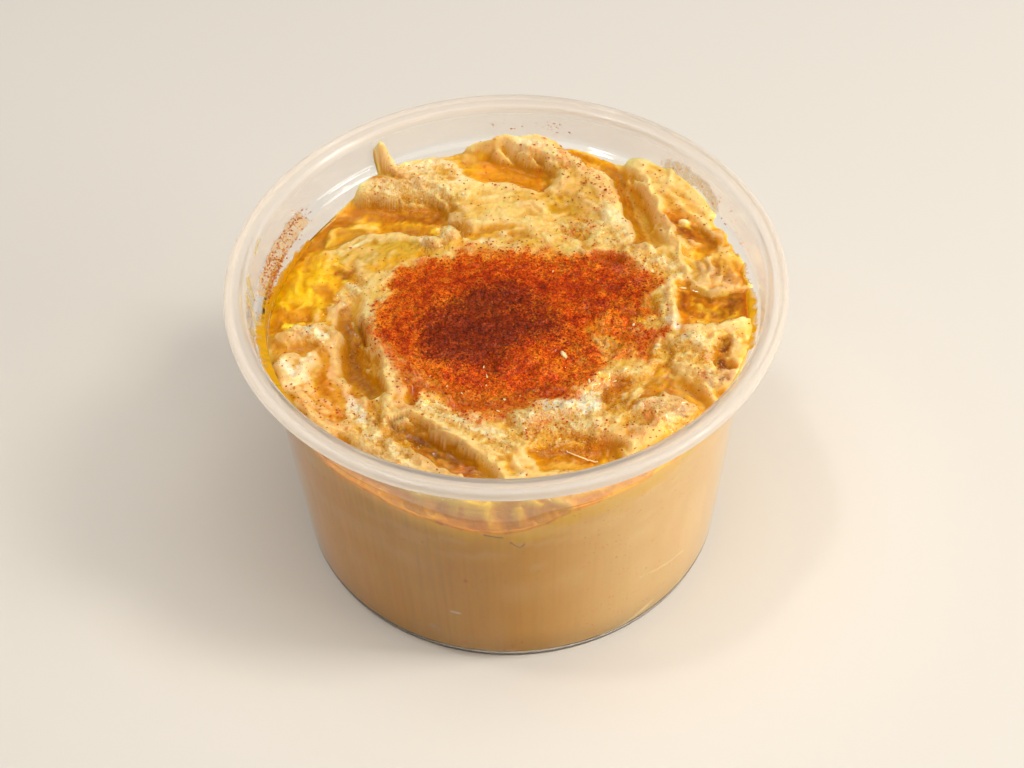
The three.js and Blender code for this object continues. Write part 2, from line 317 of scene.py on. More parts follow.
def roundCorners(corners, reach=0.45, steps=3):
    # eases each corner of a profile with a short curve
    points = [corners[0]]
    for before, here, after in zip(corners[:-2], corners[1:-1], corners[2:]):
        before, here, after = (np.array(p, float) for p in (before, here, after))
        toBefore, toAfter = before - here, after - here
        start = here + toBefore * min(0.4, reach / np.linalg.norm(toBefore))
        end = here + toAfter * min(0.4, reach / np.linalg.norm(toAfter))
        for t in np.linspace(0, 1, steps + 1):
            points.append(tuple(start * (1 - t) ** 2 + here * 2 * t * (1 - t) + end * t ** 2))
    return points + [corners[-1]]


def potProfile():
    form = potForm
    corner, bead = form["cornerRadius"], form["beadRadius"]
    thick, floor = form["wallThickness"], form["floorThickness"]
    outerCorner = outerWall(corner) - corner
    innerCorner = innerWall(floor + corner) - corner
    skirtZ = potHeight - form["skirtDepth"]
    outside = roundCorners([
        (outerWall(corner), corner), (outerWall(ledgeZ - 0.7), ledgeZ - 0.7),
        (upperInner + thick - 0.3, ledgeZ + 0.3), (upperInner + thick, ledgeZ + 1),
        (lipInner + thick - 0.3, potHeight - 2.2), (lipInner + thick + 0.5, potHeight - 1.1),
        (rimRadius - 1.7, potHeight - 1.1), (rimRadius - 1.5, potHeight - 1.6),
        (rimRadius - 1.5, skirtZ), (rimRadius - 0.8, skirtZ), (rimRadius - 0.1, potHeight - 1.6)])
    inside = roundCorners([
        (rimRadius - bead * 1.87, potHeight - bead * 0.5), (rimRadius - 2.3, potHeight - 0.4),
        (lipInner + 0.5, potHeight - 0.15), (lipInner, potHeight - 0.6), (upperInner, ledgeZ + 1.3),
        (upperInner - 0.5, ledgeZ + 0.5), (innerWall(ledgeZ), ledgeZ - 0.2),
        (innerWall(floor + corner), floor + corner)])
    return (arc(outerCorner, corner, corner, -90, 0, 8)[:-1] + outside
            + arc(rimRadius - bead, potHeight - bead, bead, 0, 145, 10)[1:] + inside[1:-1]
            + arc(innerCorner, floor + corner, corner, 0, -90, 8))


def latheMesh(profile, sides):
    # rings round Z, closed by one point on the axis below and one above
    r, z = np.array(profile).T
    angle = np.linspace(0, 2 * math.pi, sides, endpoint=False)
    points = np.stack([np.outer(r, np.cos(angle)), np.outer(r, np.sin(angle)),
                       np.repeat(z[:, None], sides, 1)], -1).reshape(-1, 3)
    faces = ringQuads(len(profile), sides)
    below, above = len(points), len(points) + 1
    points = np.vstack([points, [[0, 0, z[0]], [0, 0, z[-1]]]])
    top = (len(profile) - 1) * sides
    for k in range(sides):
        faces.append((below, (k + 1) % sides, k))
        faces.append((above, top + k, top + (k + 1) % sides))
    return points, faces


# the spooned surface, the same as in the solids. Each stroke: its reach to the left and to the
# right, the share of that at full strength, its crest from 0 round to 1 pointed, its strength,
# then x, y and the height that it pulls the surface to along its path
surfaceForm = {"meanLevel": 60.4, "tiltX": 0.045, "tiltY": 0.012}
strokes = {
    "left pool bed": (7.5, 7.5, 0.35, 0, 1, (-46, 2, 55.5), (-46, 14, 55.3), (-40, 24, 56), (-32, 31, 55.8),
     (-22, 31, 56), (-10, 30.5, 57), (2, 27, 59.2)),
    "left pool middle": (9, 9, 0.3, 0, 1, (-44, 10, 55.8), (-38, 14, 56.2)),
    "front hem": (6.5, 6.5, 0.25, 0, 1, (-44, -25, 54.5), (-30, -42, 53.5), (-14, -50, 51), (-2, -51, 49.3),
     (6, -51, 51.5), (14, -50, 55), (30, -42, 57.3), (42, -30, 57.5)),
    "smooth lobe": (4.5, 9, 0, 0.3, 1, (-38, 22, 58), (-30, 23.5, 59), (-22, 21, 59.5)),
    "back left shelf": (7, 9, 0.4, 0, 1, (-27, 42.5, 62), (-20, 43, 62.5), (-12, 42, 62.3), (-7, 38, 61.8)),
    "foot of the shelf": (4.5, 5, 0.2, 0, 1, (-31, 33, 57), (-22, 32, 56.8), (-12, 31, 57.4)),
    "terrace": (9, 9, 0.4, 0, 0.85, (-6, 32, 61), (4, 32, 61.5), (12, 27, 61.5), (20, 23, 61.5)),
    "back rim of the bowl": (5, 3.6, 0, 0.45, 1, (-6, 50, 64), (0, 50, 66.3), (7, 49, 66.3), (13, 49, 65)),
    "back swell": (3.5, 12, 0, 0.35, 1, (6.5, 48, 66), (12, 45.5, 65.6), (17, 42, 65.2), (22, 38, 64.6),
     (24.6, 32, 64), (26, 27, 63.4), (28, 21, 62.6)),
    "back bowl": (6, 4, 0.15, 0, 1, (-6, 44.4, 60.6), (-1, 43, 59.3), (4, 41.4, 58.8), (8.5, 39.4, 59.8)),
    "crease behind the swell": (3, 2.2, 0.1, 0, 1, (12, 50.5, 62), (20, 46.5, 62), (25.5, 41, 61)),
    "right groove": (3.4, 3.6, 0.3, 0, 1, (26.5, 39.5, 60.2), (28.5, 33, 59.6), (30, 26, 59.6),
     (31, 19, 60.6)),
    "bank at the right back": (8, 6.5, 0.2, 0, 1, (33, 41, 64.6), (40, 33, 64.6), (46.5, 25, 62.8)),
    "thin crest": (3.4, 2.2, 0, 0.5, 1, (31.2, 38, 64.3), (32.6, 33, 64.6), (34, 27.5, 64.7),
     (35.2, 22, 64.3), (37, 16, 63.7), (38.4, 10, 63.2), (39, 6.5, 63)),
    "valley right of the crest": (3, 3.2, 0.25, 0, 1, (37.5, 25, 61.6), (41.5, 21, 60.9), (44.5, 18, 61),
     (42, 14.5, 61.3), (39.5, 15.5, 62)),
    "bank along the right wall": (3, 3.2, 0.2, 0, 1, (47.5, 23, 62.4), (50, 15, 62.6)),
    "right mound": (5.5, 5.2, 0.25, 0, 1, (42.5, 6.8, 63.2), (50, 6.5, 62.7)),
    "bank left of the right pool": (3, 3.2, 0.1, 0, 1, (36.2, 6, 63), (34.2, 1, 63.4), (34, -4, 63.5),
     (36, -9.5, 63.3)),
    "right pool bed": (5, 4.6, 0.45, 0, 1, (38.6, 0, 60.4), (44, -2.3, 60.2), (50, -2, 60.2)),
    "lump in the right pool": (2.8, 2.6, 0.1, 0, 1, (40.5, -1.5, 61.2), (44, -3.5, 60.6)),
    "bank below the right pool": (4, 6, 0.2, 0, 1, (36, -10.5, 63.2), (42, -10.8, 63.8), (50, -10.3, 63)),
    "right lumps": (4.5, 5, 0.2, 0, 1, (36, -17, 62.2), (41, -19, 62)),
    "crevice": (1.8, 2.2, 0, 0, 1, (45.5, -12.5, 60.8), (44, -15.6, 60), (45.4, -19, 59.6)),
    "right front hollow": (4, 4.2, 0.2, 0, 1, (31, -20.5, 60.3), (35.5, -23.5, 58), (39, -26, 57.5)),
    "wet hollow": (4.5, 4.5, 0.3, 0, 1, (19, -25, 59.8), (24, -22.5, 59.6), (29, -23, 59.8)),
    "torn crest": (3.2, 7.5, 0.1, 0.2, 1, (4, -27.5, 62), (10, -27, 62.2), (16, -27.5, 61.6)),
    "slope below the torn crest": (4, 4, 0.2, 0, 0.8, (-3, -34, 59.4), (5, -34, 59.4), (13, -32.5, 59.6)),
    "front basin": (4.5, 7, 0.25, 0, 1, (8, -38.5, 57), (14, -37.5, 56.6), (19, -38.5, 57)),
    "front tongue": (3.6, 3.2, 0, 0.3, 1, (-3, -38, 59.6), (1, -42, 58.4)),
    "right front mound": (3.5, 8, 0, 0.3, 1, (25, -29.5, 61.2), (29.5, -28, 62.1), (33.5, -30, 61.4),
     (36, -33, 60)),
    "left groove": (3.8, 4.5, 0.15, 0, 1, (-33, 9, 58.5), (-33, 2, 56.3), (-33, -5, 55), (-31.5, -12, 55),
     (-28.5, -19, 56.3)),
    "left hill": (4, 5, 0.2, 0, 1, (-46, -4, 59.8), (-41, -3, 60.4), (-37.5, -5, 60)),
    "left front hill": (4.5, 6, 0.3, 0, 1, (-44.5, -13, 60.8), (-42, -20, 59.8), (-36, -28, 59)),
    "cliff of the plateau": (14, 1.2, 0, 0.25, 1, (-30.4, -1, 60.8), (-28.9, -6, 61.6), (-27, -12, 61.9),
     (-25.4, -17.5, 61.8), (-24.6, -22.5, 61.3), (-24.6, -26.5, 60.6)),
    "plateau": (17, 17, 0.2, 0, 0.8, (-10, -2, 61.5), (6, 2, 61.2)),
    "hole at the cliff": (1.5, 1.5, 0.2, 0, 1, (-31.9, -1, 55.5), (-31.2, -4, 54.5)),
    "small hollow": (2.3, 2.3, 0.1, 0, 1, (-19.5, -20.5, 59.2), (-19.5, -23, 59)),
    "spoon pit": (3.6, 4.4, 0.3, 0, 1, (-22, -30.6, 57.8), (-18, -33.2, 56.2), (-13, -37, 55.8),
     (-8, -40.5, 55.6), (-5, -45, 54.5)),
    "lip of the pit": (3.2, 1.3, 0, 0.25, 1, (-23, -28.6, 60.9), (-19, -27.8, 61.3), (-14, -31.7, 61.3),
     (-10, -35.2, 60.6), (-5.5, -37.2, 60)),
    "round lumps": (3.3, 3.5, 0.2, 0, 1, (24.5, 13, 62.6), (30, 15.5, 63.2)),
    "low lumps": (2.6, 2.8, 0.2, 0, 1, (29.5, 10.8, 62.4), (33, 12.5, 62.8)),
    "hollow by the lumps": (2.2, 2.2, 0.2, 0, 1, (20.5, 14.5, 60), (24.5, 13.2, 60.1)),
    "notch": (1.8, 1.8, 0.2, 0, 1, (36.5, 4.5, 61.2), (38.5, 4, 61.4)),
    "torn lump": (2.4, 2.4, 0.3, 0, 1, (-12.3, 24.2, 61.6), (-11.8, 24.4, 61.6)),
    "small torn lump": (2.2, 2.2, 0.3, 0, 1, (-16.2, 22.3, 61), (-15.8, 22.3, 61)),
    "horn": (1.4, 1.8, 0.4, 0, 1, (-28.9, 44.6, 67.2), (-27.6, 44.9, 68), (-26.6, 44.6, 66.9),
     (-25.2, 44, 65.2), (-23, 43, 63.9), (-20, 42, 62.9)),
}

unevenness = [(0.55, 7, 3), (0.35, 3.4, 5)]  # height, size and seed, as in the solids
rolling = [(0.6, 2.0, 57), (0.34, 0.9, 62)]  # the same, finer than the solids and drawn out
waver = [(1.7, 3.6, 31), (0.8, 1.6, 33)]  # sideways shift of the strokes' edges, size and seed


def strokeWeight(t, flat, crest):
    t = np.clip((t - flat) / (1 - flat), 0, 1)
    rounded, pointed = (1 - t * t) ** 2, (1 - t) ** 2
    return rounded + (pointed - rounded) * crest


def solidHeight(x, y):
    z = surfaceForm["meanLevel"] + surfaceForm["tiltX"] * x + surfaceForm["tiltY"] * y
    for left, right, flat, crest, strength, *path in strokes.values():
        picked, distance, side, height, along = nearPath(path, x, y, max(left, right))
        reachHere = right + (left - right) * (0.5 + 0.5 * side)
        weight = strokeWeight(distance / reachHere, flat, crest) * strength
        z[picked] = z[picked] * (1 - weight) + height * weight
    for height, size, seed in unevenness:
        z = z + height * (noise(x / size, y / size, seed) - 0.5)
    return z


# finer spoon marks that the solids leave out: reach, share at full strength, crest, then x, y
# and how far the surface is raised or lowered along the path
marks = [
    # back left: the torn front of the shelf, the lobe and the lumps beside it
    (1.5, 0, 0.6, (-28, 41, 0.5), (-24, 40.6, 0.7), (-20, 39.8, 0.6), (-15, 38.6, 0.6), (-11, 36.6, 0.4)),
    (1.3, 0, 0.5, (-33.5, 40, 0.8), (-32.6, 41, 1.6)),
    (1, 0.4, 0, (-29, 44.6, 0.9), (-28.2, 44.8, 0.3)),
    (0.8, 0.4, 0, (-27, 44.9, 0.6), (-26.6, 44.7, 0.8)),
    (1.9, 0.2, 0, (-26.6, 44.8, 1.5), (-25, 44.6, 1.2), (-22.6, 44, 0.6)),
    (1.1, 0, 0, (-25, 38.4, -0.5), (-19, 37.8, -0.6), (-14, 37, -0.4)),
    (0.8, 0, 0.8, (-36, 21.5, 0.3), (-33, 23, 0.5), (-29, 25.2, 0.4)),
    (1.6, 0, 0.4, (-39.5, 25.5, 0.9), (-38, 29, 1.1), (-34, 30.8, 1), (-28.5, 30, 1)),
    (4, 0.3, 0, (-37, 27, 0.8), (-30, 27, 1.2), (-24, 26, 0.8)),
    (1.7, 0.3, 0, (-13.4, 26.6, 0.5), (-12.4, 25.4, 0.8), (-11.4, 24.4, 0.5)),
    (1.1, 0.3, 0, (-14.9, 28.2, 0.6), (-13.6, 27.8, 0.7)),
    (1.3, 0.3, 0, (-17.4, 22.6, 0.4), (-15.6, 21.8, 0.6), (-14, 22.4, 0.4)),
    (1.2, 0, 0, (-19.4, 17.4, 0.5), (-17.6, 17.8, 0.6)),
    (1.2, 0, 0.5, (-4, 24.4, 0.4), (-1, 24.9, 0.6), (3, 25.2, 0.4)),
    (1.4, 0, 0, (-6, 25.8, -0.3), (0, 26.2, -0.4), (5, 26, -0.3)),
    (1.2, 0, 0.4, (-9, 35.5, 0.6), (-8.6, 37, 0.5)),
    (1.6, 0, 0, (-13, 43, -0.4), (-12, 42.2, -0.4)),
    (1, 0, 0.5, (-20, 45, 0.5), (-14, 45.4, 0.6), (-10, 45, 0.4)),
    # back: the bowl's rim in two crests, and the swell
    (0.9, 0, 0.6, (-6, 47.6, 0.3), (0, 48.4, 0.4), (6, 46.6, 0.4), (10.5, 43.5, 0.4)),
    (0.8, 0, 0, (1, 46.4, -0.3), (7, 45, -0.4), (11, 41.6, -0.3)),
    (1.4, 0, 0.3, (8, 41, 0.5), (12, 38.4, 0.5), (14, 36, 0.4)),
    (1.1, 0, 0.3, (9.8, 33, 0.5), (11.6, 33.4, 0.7)),
    (2.2, 0, 0, (11, 30.6, -0.5), (14, 29.6, -0.5), (17, 28, -0.5), (19, 26, -0.4)),
    (1.8, 0, 0, (14, 25.4, 0.5), (18, 24, 0.6), (21, 21.6, 0.5)),
    (2.2, 0.2, 0, (20, 19, 0.5), (23.6, 19.4, 0.5)),
    (1.8, 0, 0, (24, 23, 0.5), (27, 20, 0.6), (29.4, 17.6, 0.5)),
    (1.8, 0, 0, (17, 33, 0.4), (20, 30.4, 0.5), (24.4, 28.6, 0.4)),
    (2, 0, 0, (4, 32.6, 0.3), (7.4, 31, 0.35)),
    (1.8, 0, 0, (2, 29.4, -0.3), (6.5, 28, -0.35)),
    (1, 0, 0.5, (16.8, 16, 0.5), (19.6, 17, 0.6), (24, 15.9, 0.5)),
    # right back: the groove, the thin crest and the bank behind it
    (0.9, 0, 0.4, (25.5, 41, 0.3), (27.6, 34, 0.5), (28.2, 30, 0.3)),
    (0.9, 0, 0, (29.6, 36, -0.3), (31, 29, -0.4), (32.6, 21, -0.3)),
    (0.8, 0, 0.8, (31, 38.4, 0.3), (32.4, 34.6, 0.6), (33.4, 30.4, 0.2), (34.2, 26.5, 0.6),
     (35.4, 22.4, 0.2), (36.4, 18.6, 0.6), (37.6, 13, 0.4)),
    (1.4, 0.2, 0, (30.6, 18.4, 0.9), (31.4, 15.6, 0.8)),
    (1.3, 0, 0, (38, 33, -0.6), (40.6, 29, -0.5), (43.6, 25.6, -0.3)),
    (1.2, 0, 0, (36.4, 31, 0.5), (38.6, 28, 0.5), (39.4, 26, 0.3)),
    (1.2, 0.2, 0, (39, 24.2, 0.9), (40, 23.4, 1)),
    (1.2, 0, 0, (36.8, 35.4, 0.7), (37.6, 38, 0.9)),
    (1.1, 0, 0.3, (43.4, 13, 0.4), (44, 9, 0.6), (43, 6.4, 0.4)),
    (1, 0, 0, (45.4, 12, -0.4), (45.6, 7.6, -0.4)),
    (1.1, 0, 0.5, (40.6, 4.4, 0.4), (44.6, 2.6, 0.6), (49, 2.2, 0.5)),
    (1.4, 0, 0, (37, 11.6, 0.5), (38.4, 8.4, 0.5)),
    # round lumps between the paprika and the groove
    (1.5, 0.2, 0, (25.4, 15.4, 0.5), (26.2, 14.6, 0.5)),
    (1.4, 0.2, 0, (28.2, 12.6, 0.7), (28.8, 11.4, 0.7)),
    (1.5, 0.2, 0, (31.4, 12.4, 0.7), (32.4, 11.4, 0.6)),
    (1.5, 0.2, 0, (34, 12, 0.5), (35.4, 10.6, 0.6)),
    (0.7, 0, 0, (29.9, 14.4, -0.5), (33.4, 9.6, -0.4)),
    # right: banks round the pool, the lumps in front of it
    (1.3, 0, 0.4, (33.6, 1.6, 0.5), (34.6, -3, 0.6), (34.2, -8.4, 0.5)),
    (1, 0, 0, (30.6, 1, -0.4), (31.4, -3, -0.4), (33.6, -5.4, -0.3)),
    (1.4, 0, 0, (37, -9.4, 0.4), (41, -8.6, 0.5), (46, -8.4, 0.6), (49, -6, 0.4)),
    (1.5, 0.2, 0, (30.6, -13.8, 0.8), (31.8, -11.4, 1), (33, -11, 0.9)),
    (1, 0, 0, (33.8, -13.4, -0.5), (33.6, -16, -0.6), (31.8, -18.4, -0.5)),
    (1.5, 0.1, 0, (36, -12.4, 0.8), (38.6, -11.8, 0.8)),
    (1.8, 0.1, 0, (36.6, -15.6, 0.6), (40, -14.6, 0.7), (41.8, -16.4, 0.5)),
    (1.2, 0, 0.3, (35, -18.4, 0.5), (38.6, -19.6, 0.6), (41.4, -21.4, 0.5)),
    (0.8, 0, 0, (41, -12.6, -0.4), (43, -10.8, -0.5), (46, -10.6, -0.4)),
    (0.9, 0, 0.5, (43.8, -16.6, 0.5), (44.2, -21, 0.7)),
    (1.4, 0.2, 0, (29, -16.6, 0.5), (30.8, -17, 0.5)),
    # front right: torn crest, wet hollows and the mound
    (1, 0, 0.6, (17, -22.4, 0.6), (20, -21, 0.7), (23.6, -18.8, 0.7), (26, -19.4, 0.4)),
    (1.2, 0, 0.3, (13, -24.6, 0.6), (15.6, -24, 0.8), (18, -24.4, 0.5)),
    (1.3, 0, 0.3, (8.4, -28.4, 0.7), (11.4, -28.6, 0.9), (13.8, -27.4, 0.7)),
    (1.2, 0, 0, (15.6, -28.4, 0.5), (18.8, -28, 0.5)),
    (1.1, 0, 0.4, (4, -30.4, 0.5), (7.4, -31.4, 0.6), (11, -31.2, 0.5), (16, -31.4, 0.4)),
    (0.8, 0, 0.5, (6, -33.2, 0.4), (11, -34, 0.5), (17, -33.6, 0.5), (21, -35, 0.4)),
    (0.9, 0, 0.4, (26, -24.6, 0.8), (27, -22.8, 0.7)),
    (1, 0, 0, (32, -24.6, 0.5), (32.4, -27.4, 0.5)),
    (1, 0, 0, (34, -22, 0.6), (36.4, -24, 0.5), (36.6, -27.6, 0.4)),
    (1.3, 0, 0.3, (26.4, -28.6, 0.5), (29.6, -27.4, 0.8), (31.6, -28.4, 0.6)),
    (1.2, 0, 0.2, (24, -33.6, 0.5), (27.4, -35, 0.6), (31, -33.6, 0.5)),
    (1.3, 0, 0, (19.6, -30.6, 0.4), (22.6, -31.6, 0.5)),
    # front: the tongue and the lip of the pit
    (0.9, 0, 0.6, (0.4, -39.6, 0.6), (2, -41.4, 0.7), (3, -44, 0.6)),
    (1, 0, 0.5, (-3.4, -34, 0.5), (-1, -36.4, 0.6), (1.6, -38, 0.5)),
    (1, 0, 0, (0.6, -31.6, -0.4), (2.6, -34, -0.5), (4.4, -35.4, -0.4)),
    (1.3, 0, 0.4, (-17.4, -26, 0.5), (-13.4, -27.8, 0.6), (-9.6, -30, 0.5), (-6.4, -32, 0.5)),
    (1, 0.3, 0, (-14.6, -24.4, 0.4), (-12.8, -25.6, 0.5)),
    # front left: the floor of the pit and the cream hills
    (1.3, 0, 0.7, (-20.6, -33, 0.9), (-19.6, -36.6, 1), (-17.4, -41, 0.8)),
    (1.4, 0, 0, (-15.8, -35.4, -0.6), (-13.6, -40.4, -0.6)),
    (1.5, 0, 0, (-23.6, -33.6, 0.7), (-23, -37, 0.8), (-21, -39.6, 0.6)),
    (1, 0, 0, (-26.6, -22.4, 0.5), (-25.4, -26, 0.6), (-24.2, -28.2, 0.5)),
    (1.6, 0, 0.2, (-29.6, -17, 0.5), (-30, -21, 0.6), (-29, -25, 0.5)),
    (1.6, 0, 0, (-26.6, -29.4, 0.5), (-27.4, -33.4, 0.6)),
    (1.4, 0, 0, (-32.6, -28, 0.4), (-31.6, -31.4, 0.4)),
    (1.7, 0.2, 0, (-47, 0.6, 0.9), (-44.6, 1, 1.1), (-42, 0.8, 0.8)),
    (1.4, 0, 0.2, (-46.4, -4.6, 0.9), (-43.6, -3, 1.1), (-40, -4, 1), (-38.4, -5.6, 0.6)),
    (0.9, 0, 0, (-42.4, -6.8, -0.6), (-39.6, -7, -0.5)),
    (1.1, 0, 0, (-48, -9, 0.5), (-46.6, -13.6, 0.4)),
    (1.5, 0, 0.3, (-40.9, -9.4, 0.6), (-41.2, -12.4, 0.9), (-42.6, -15.4, 0.9), (-44.6, -16.6, 0.8),
     (-46.2, -13.8, 0.5)),
    (1.3, 0, 0, (-44.4, -11, -0.5), (-43.4, -13, -0.6)),
    (1.6, 0, 0, (-38.6, -9, -0.3), (-38, -16, -0.4), (-37, -20, -0.3)),
    (1.1, 0, 0, (-33.6, -13, 0.5), (-32.6, -18, 0.5)),
    (1.4, 0, 0, (-36.4, -3, 0.4), (-36.6, 2.6, 0.5), (-38, 6, 0.4)),
    # left: lumps by the pool, streaks on its bed
    (1.4, 0.1, 0, (-36, 8.6, 0.8), (-34.6, 6.4, 0.9), (-35.6, 5, 0.6)),
    (1.3, 0, 0.2, (-34, 13, 0.9), (-33, 11, 1), (-31.8, 9.4, 0.7)),
    (1.4, 0, 0, (-42, 13.6, 0.4), (-39, 13.4, 0.5), (-37, 11.6, 0.4)),
    (1.2, 0, 0.4, (-48.6, 8, 0.5), (-46.6, 6, 0.6), (-44, 7.4, 0.5)),
    (1.2, 0, 0, (-45, 18, 0.4), (-44.6, 11.6, 0.5)),
    (0.9, 0, 0.7, (-28.8, -1, 0.3), (-27.6, -7, 0.4), (-26, -13, 0.4), (-24.6, -19, 0.4), (-24, -25, 0.4)),
    (1.6, 0, 0, (-21.4, -15, -0.3), (-20.4, -19, -0.5), (-19.6, -24.4, -0.5)),
    # on the paprika: dents and low rises
    (2.6, 0, 0, (4, -13.4, 0.5), (7.4, -14, 0.5)),
    (2, 0, 0, (-1, -4, 0.3), (-3, -12, -0.5), (-3.6, -16, -0.4)),
    (1.8, 0, 0, (12, 6.6, -0.3), (22, 6, -0.4), (30, 4.6, -0.4)),
    (2, 0, 0, (16, 1, 0.3), (24, 0, 0.4)),
    (2, 0, 0, (18, -9.4, 0.3), (24, -11, 0.4), (27, -15.6, 0.4)),
]

# streaks left by the spoon: reach, height and size of the ripples, True where they run down
# across the path, then its x and y
streaks = [
    (4.5, 0.35, 1.1, True, (-28.6, -2), (-26.6, -12), (-24.6, -22), (-24.4, -27)),
    (3, 0.5, 1.3, False, (-29, 39.6), (-20, 38), (-12, 35)),
    (3.4, 0.35, 1.1, True, (30, 37), (32, 28), (34.4, 18)),
    (4, 0.3, 1.2, False, (-6, 46), (2, 44), (9, 41)),
    (6, 0.35, 1.3, False, (8, 46), (16, 41), (22, 34), (25, 26)),
    (7, 0.25, 1.4, False, (-38, 22), (-29, 23.5), (-21, 21)),
    (4, 0.35, 0.9, False, (-33, 8), (-34, -6), (-30, -18)),
    (6, 0.35, 1.2, False, (-43, -8), (-40, -20), (-34, -29)),
    (5.5, 0.5, 1.1, False, (-20, -30), (-14, -35), (-6, -39)),
    (4, 0.3, 1, False, (38, 24), (44, 18), (43, 8)),
    (6, 0.25, 1.3, False, (-4, 31), (6, 30), (14, 27)),
    (5, 0.3, 1.1, False, (36, 0), (44, -3), (50, -3)),
]

# how crumbly the surface is: reach, share at full strength, then x, y and 0 smooth to 1 torn
roughPatches = [
    (7, 0.2, (3, -28, 1), (12, -28, 1), (20, -27, 1)),
    (5, 0.2, (-3, -36, 0.9), (4, -34, 1), (16, -34, 0.9)),
    (5, 0.2, (-17, -26, 0.9), (-8, -31, 0.9)),
    (8, 0.2, (-30, -28, 0.8), (-22, -36, 0.8)),
    (6, 0.2, (26, -30, 0.8), (34, -30, 0.8)),
    (6, 0.2, (30, -14, 1), (38, -15, 1), (42, -20, 0.9)),
    (5, 0.2, (26, 13, 0.9), (34, 11, 0.9)),
    (4, 0.2, (-17, 22, 1), (-11, 26, 1)),
    (4, 0.2, (-36, 6, 0.9), (-32, 12, 0.9)),
    (5, 0.2, (-46, 0, 0.7), (-40, -5, 0.8)),
    (3.5, 0.2, (-29, 38, 1), (-20, 37.6, 1), (-11, 36, 0.9)),
    (5, 0.2, (-27, 44, 0.6), (-12, 43, 0.7)),
    (6, 0.2, (14, 24, 0.7), (22, 20, 0.7), (28, 18, 0.7)),
    (4, 0.2, (32, -4, 0.7), (34, 2, 0.7)),
    (4, 0.2, (20, -20, 0.8), (26, -20, 0.8)),
    (4, 0.2, (42, -13, 0.8), (48, -12, 0.8)),
    (5, 0.2, (-22, -17, 0.9), (-10, -22, 1), (0, -24, 1), (12, -22, 0.8)),
    (6, 0.2, (16, -12, 0.8), (24, -10, 0.9), (29, -3, 0.8)),
    (14, 0.2, (-26, -6, 0.6), (-10, -2, 0.5), (10, 4, 0.5), (24, 4, 0.6)),
]
roughForm = {"everywhere": 0.2, "streakHeight": 0.35, "fold": 1.7, "foldHeight": 0.34,
             "crumb": 0.85, "crumbHeight": 0.6, "grit": 0.42, "gritHeight": 0.24}


def creases(x, y, seed):
    # 0 on rounded lumps, 1 in the thin lines between them
    return 1 - np.abs(2 * noise(x, y, seed) - 1)


def crumbs(x, y):
    form = roughForm
    bentX = x + 1.3 * (noise(x / 2.1, y / 2.1, 51) - 0.5)
    bentY = y + 1.3 * (noise(x / 2.1, y / 2.1, 52) - 0.5)
    relief = -form["foldHeight"] * creases(bentX / form["fold"], bentY / form["fold"], 53) ** 4
    relief += form["crumbHeight"] * (noise(bentX / form["crumb"], bentY / form["crumb"], 55) - 0.5)
    relief += form["gritHeight"] * (noise(x / form["grit"], y / form["grit"], 56) - 0.5)
    return relief


def painted(patches, x, y):
    # the strongest of the patches at each point
    total = np.zeros(x.shape)
    for reach, flat, *path in patches:
        picked, distance, side, strength, along = nearPath(path, x, y, reach)
        total[picked] = np.maximum(total[picked], strokeWeight(distance / reach, flat, 0) * strength)
    return total


def spooned(x, y, u, v, size, seed):
    # noise at u, v, drawn out the way the spoon went round the pot
    turn = 2 * np.arctan2(y, x) + math.pi
    total, power = 0.0, 0.0
    for k in range(4):
        heading = k * math.pi / 4
        share = np.maximum(0, np.cos(turn - 2 * heading)) ** 2
        along = u * math.cos(heading) + v * math.sin(heading)
        across = v * math.cos(heading) - u * math.sin(heading)
        total = total + share * (noise(along / (3.2 * size), across / size, seed + k) - 0.5)
        power = power + share ** 2
    return 0.5 + total / np.sqrt(power)


def spoonedHeight(trueX, trueY):
    rough = solidHeight(trueX, trueY)
    u, v = trueX + 0.6 * rough, trueY + rough
    x, y = trueX, trueY
    free = smooth(1.5, 4.5, np.hypot(trueX + 28, trueY - 44.5))  # the horn keeps its form
    for shift, size, seed in waver:
        x = x + shift * free * (noise(u / size, v / size, seed) - 0.5)
        y = y + shift * free * (noise(u / size, v / size, seed + 1) - 0.5)
    z = solidHeight(x, y)
    for reach, flat, crest, *path in marks:
        picked, distance, side, amount, along = nearPath(path, x, y, reach)
        z[picked] += amount * strokeWeight(distance / reach, flat, crest)
    for k, (reach, height, size, across, *path) in enumerate(streaks):
        picked, distance, side, last, along = nearPath(path, x, y, reach)
        offset = distance * np.sign(side)
        u, v = (along, offset) if across else (offset, along)
        ripple = noise(u / size, v / (5 * size), 61 + k) - 0.5
        z[picked] += height * ripple * strokeWeight(distance / reach, 0.3, 0)
    u, v = x + 0.6 * z, y + z
    for height, size, seed in rolling:
        z = z + height * (spooned(x, y, u, v, size, seed) - 0.5)
    folds = 1 - np.abs(2 * spooned(x, y, u, v, 1.7, 66) - 1)
    return z - roughForm["streakHeight"] * folds ** 8


def fineHeight(x, y):
    z = spoonedHeight(x, y)
    torn = np.maximum(roughForm["everywhere"], painted(roughPatches, x, y))
    torn = torn * (1 - 0.75 * smooth(0.7, 1.7, readMap(steepMap, x, y)))
    return z + torn * crumbs(x + 0.6 * z, y + z)


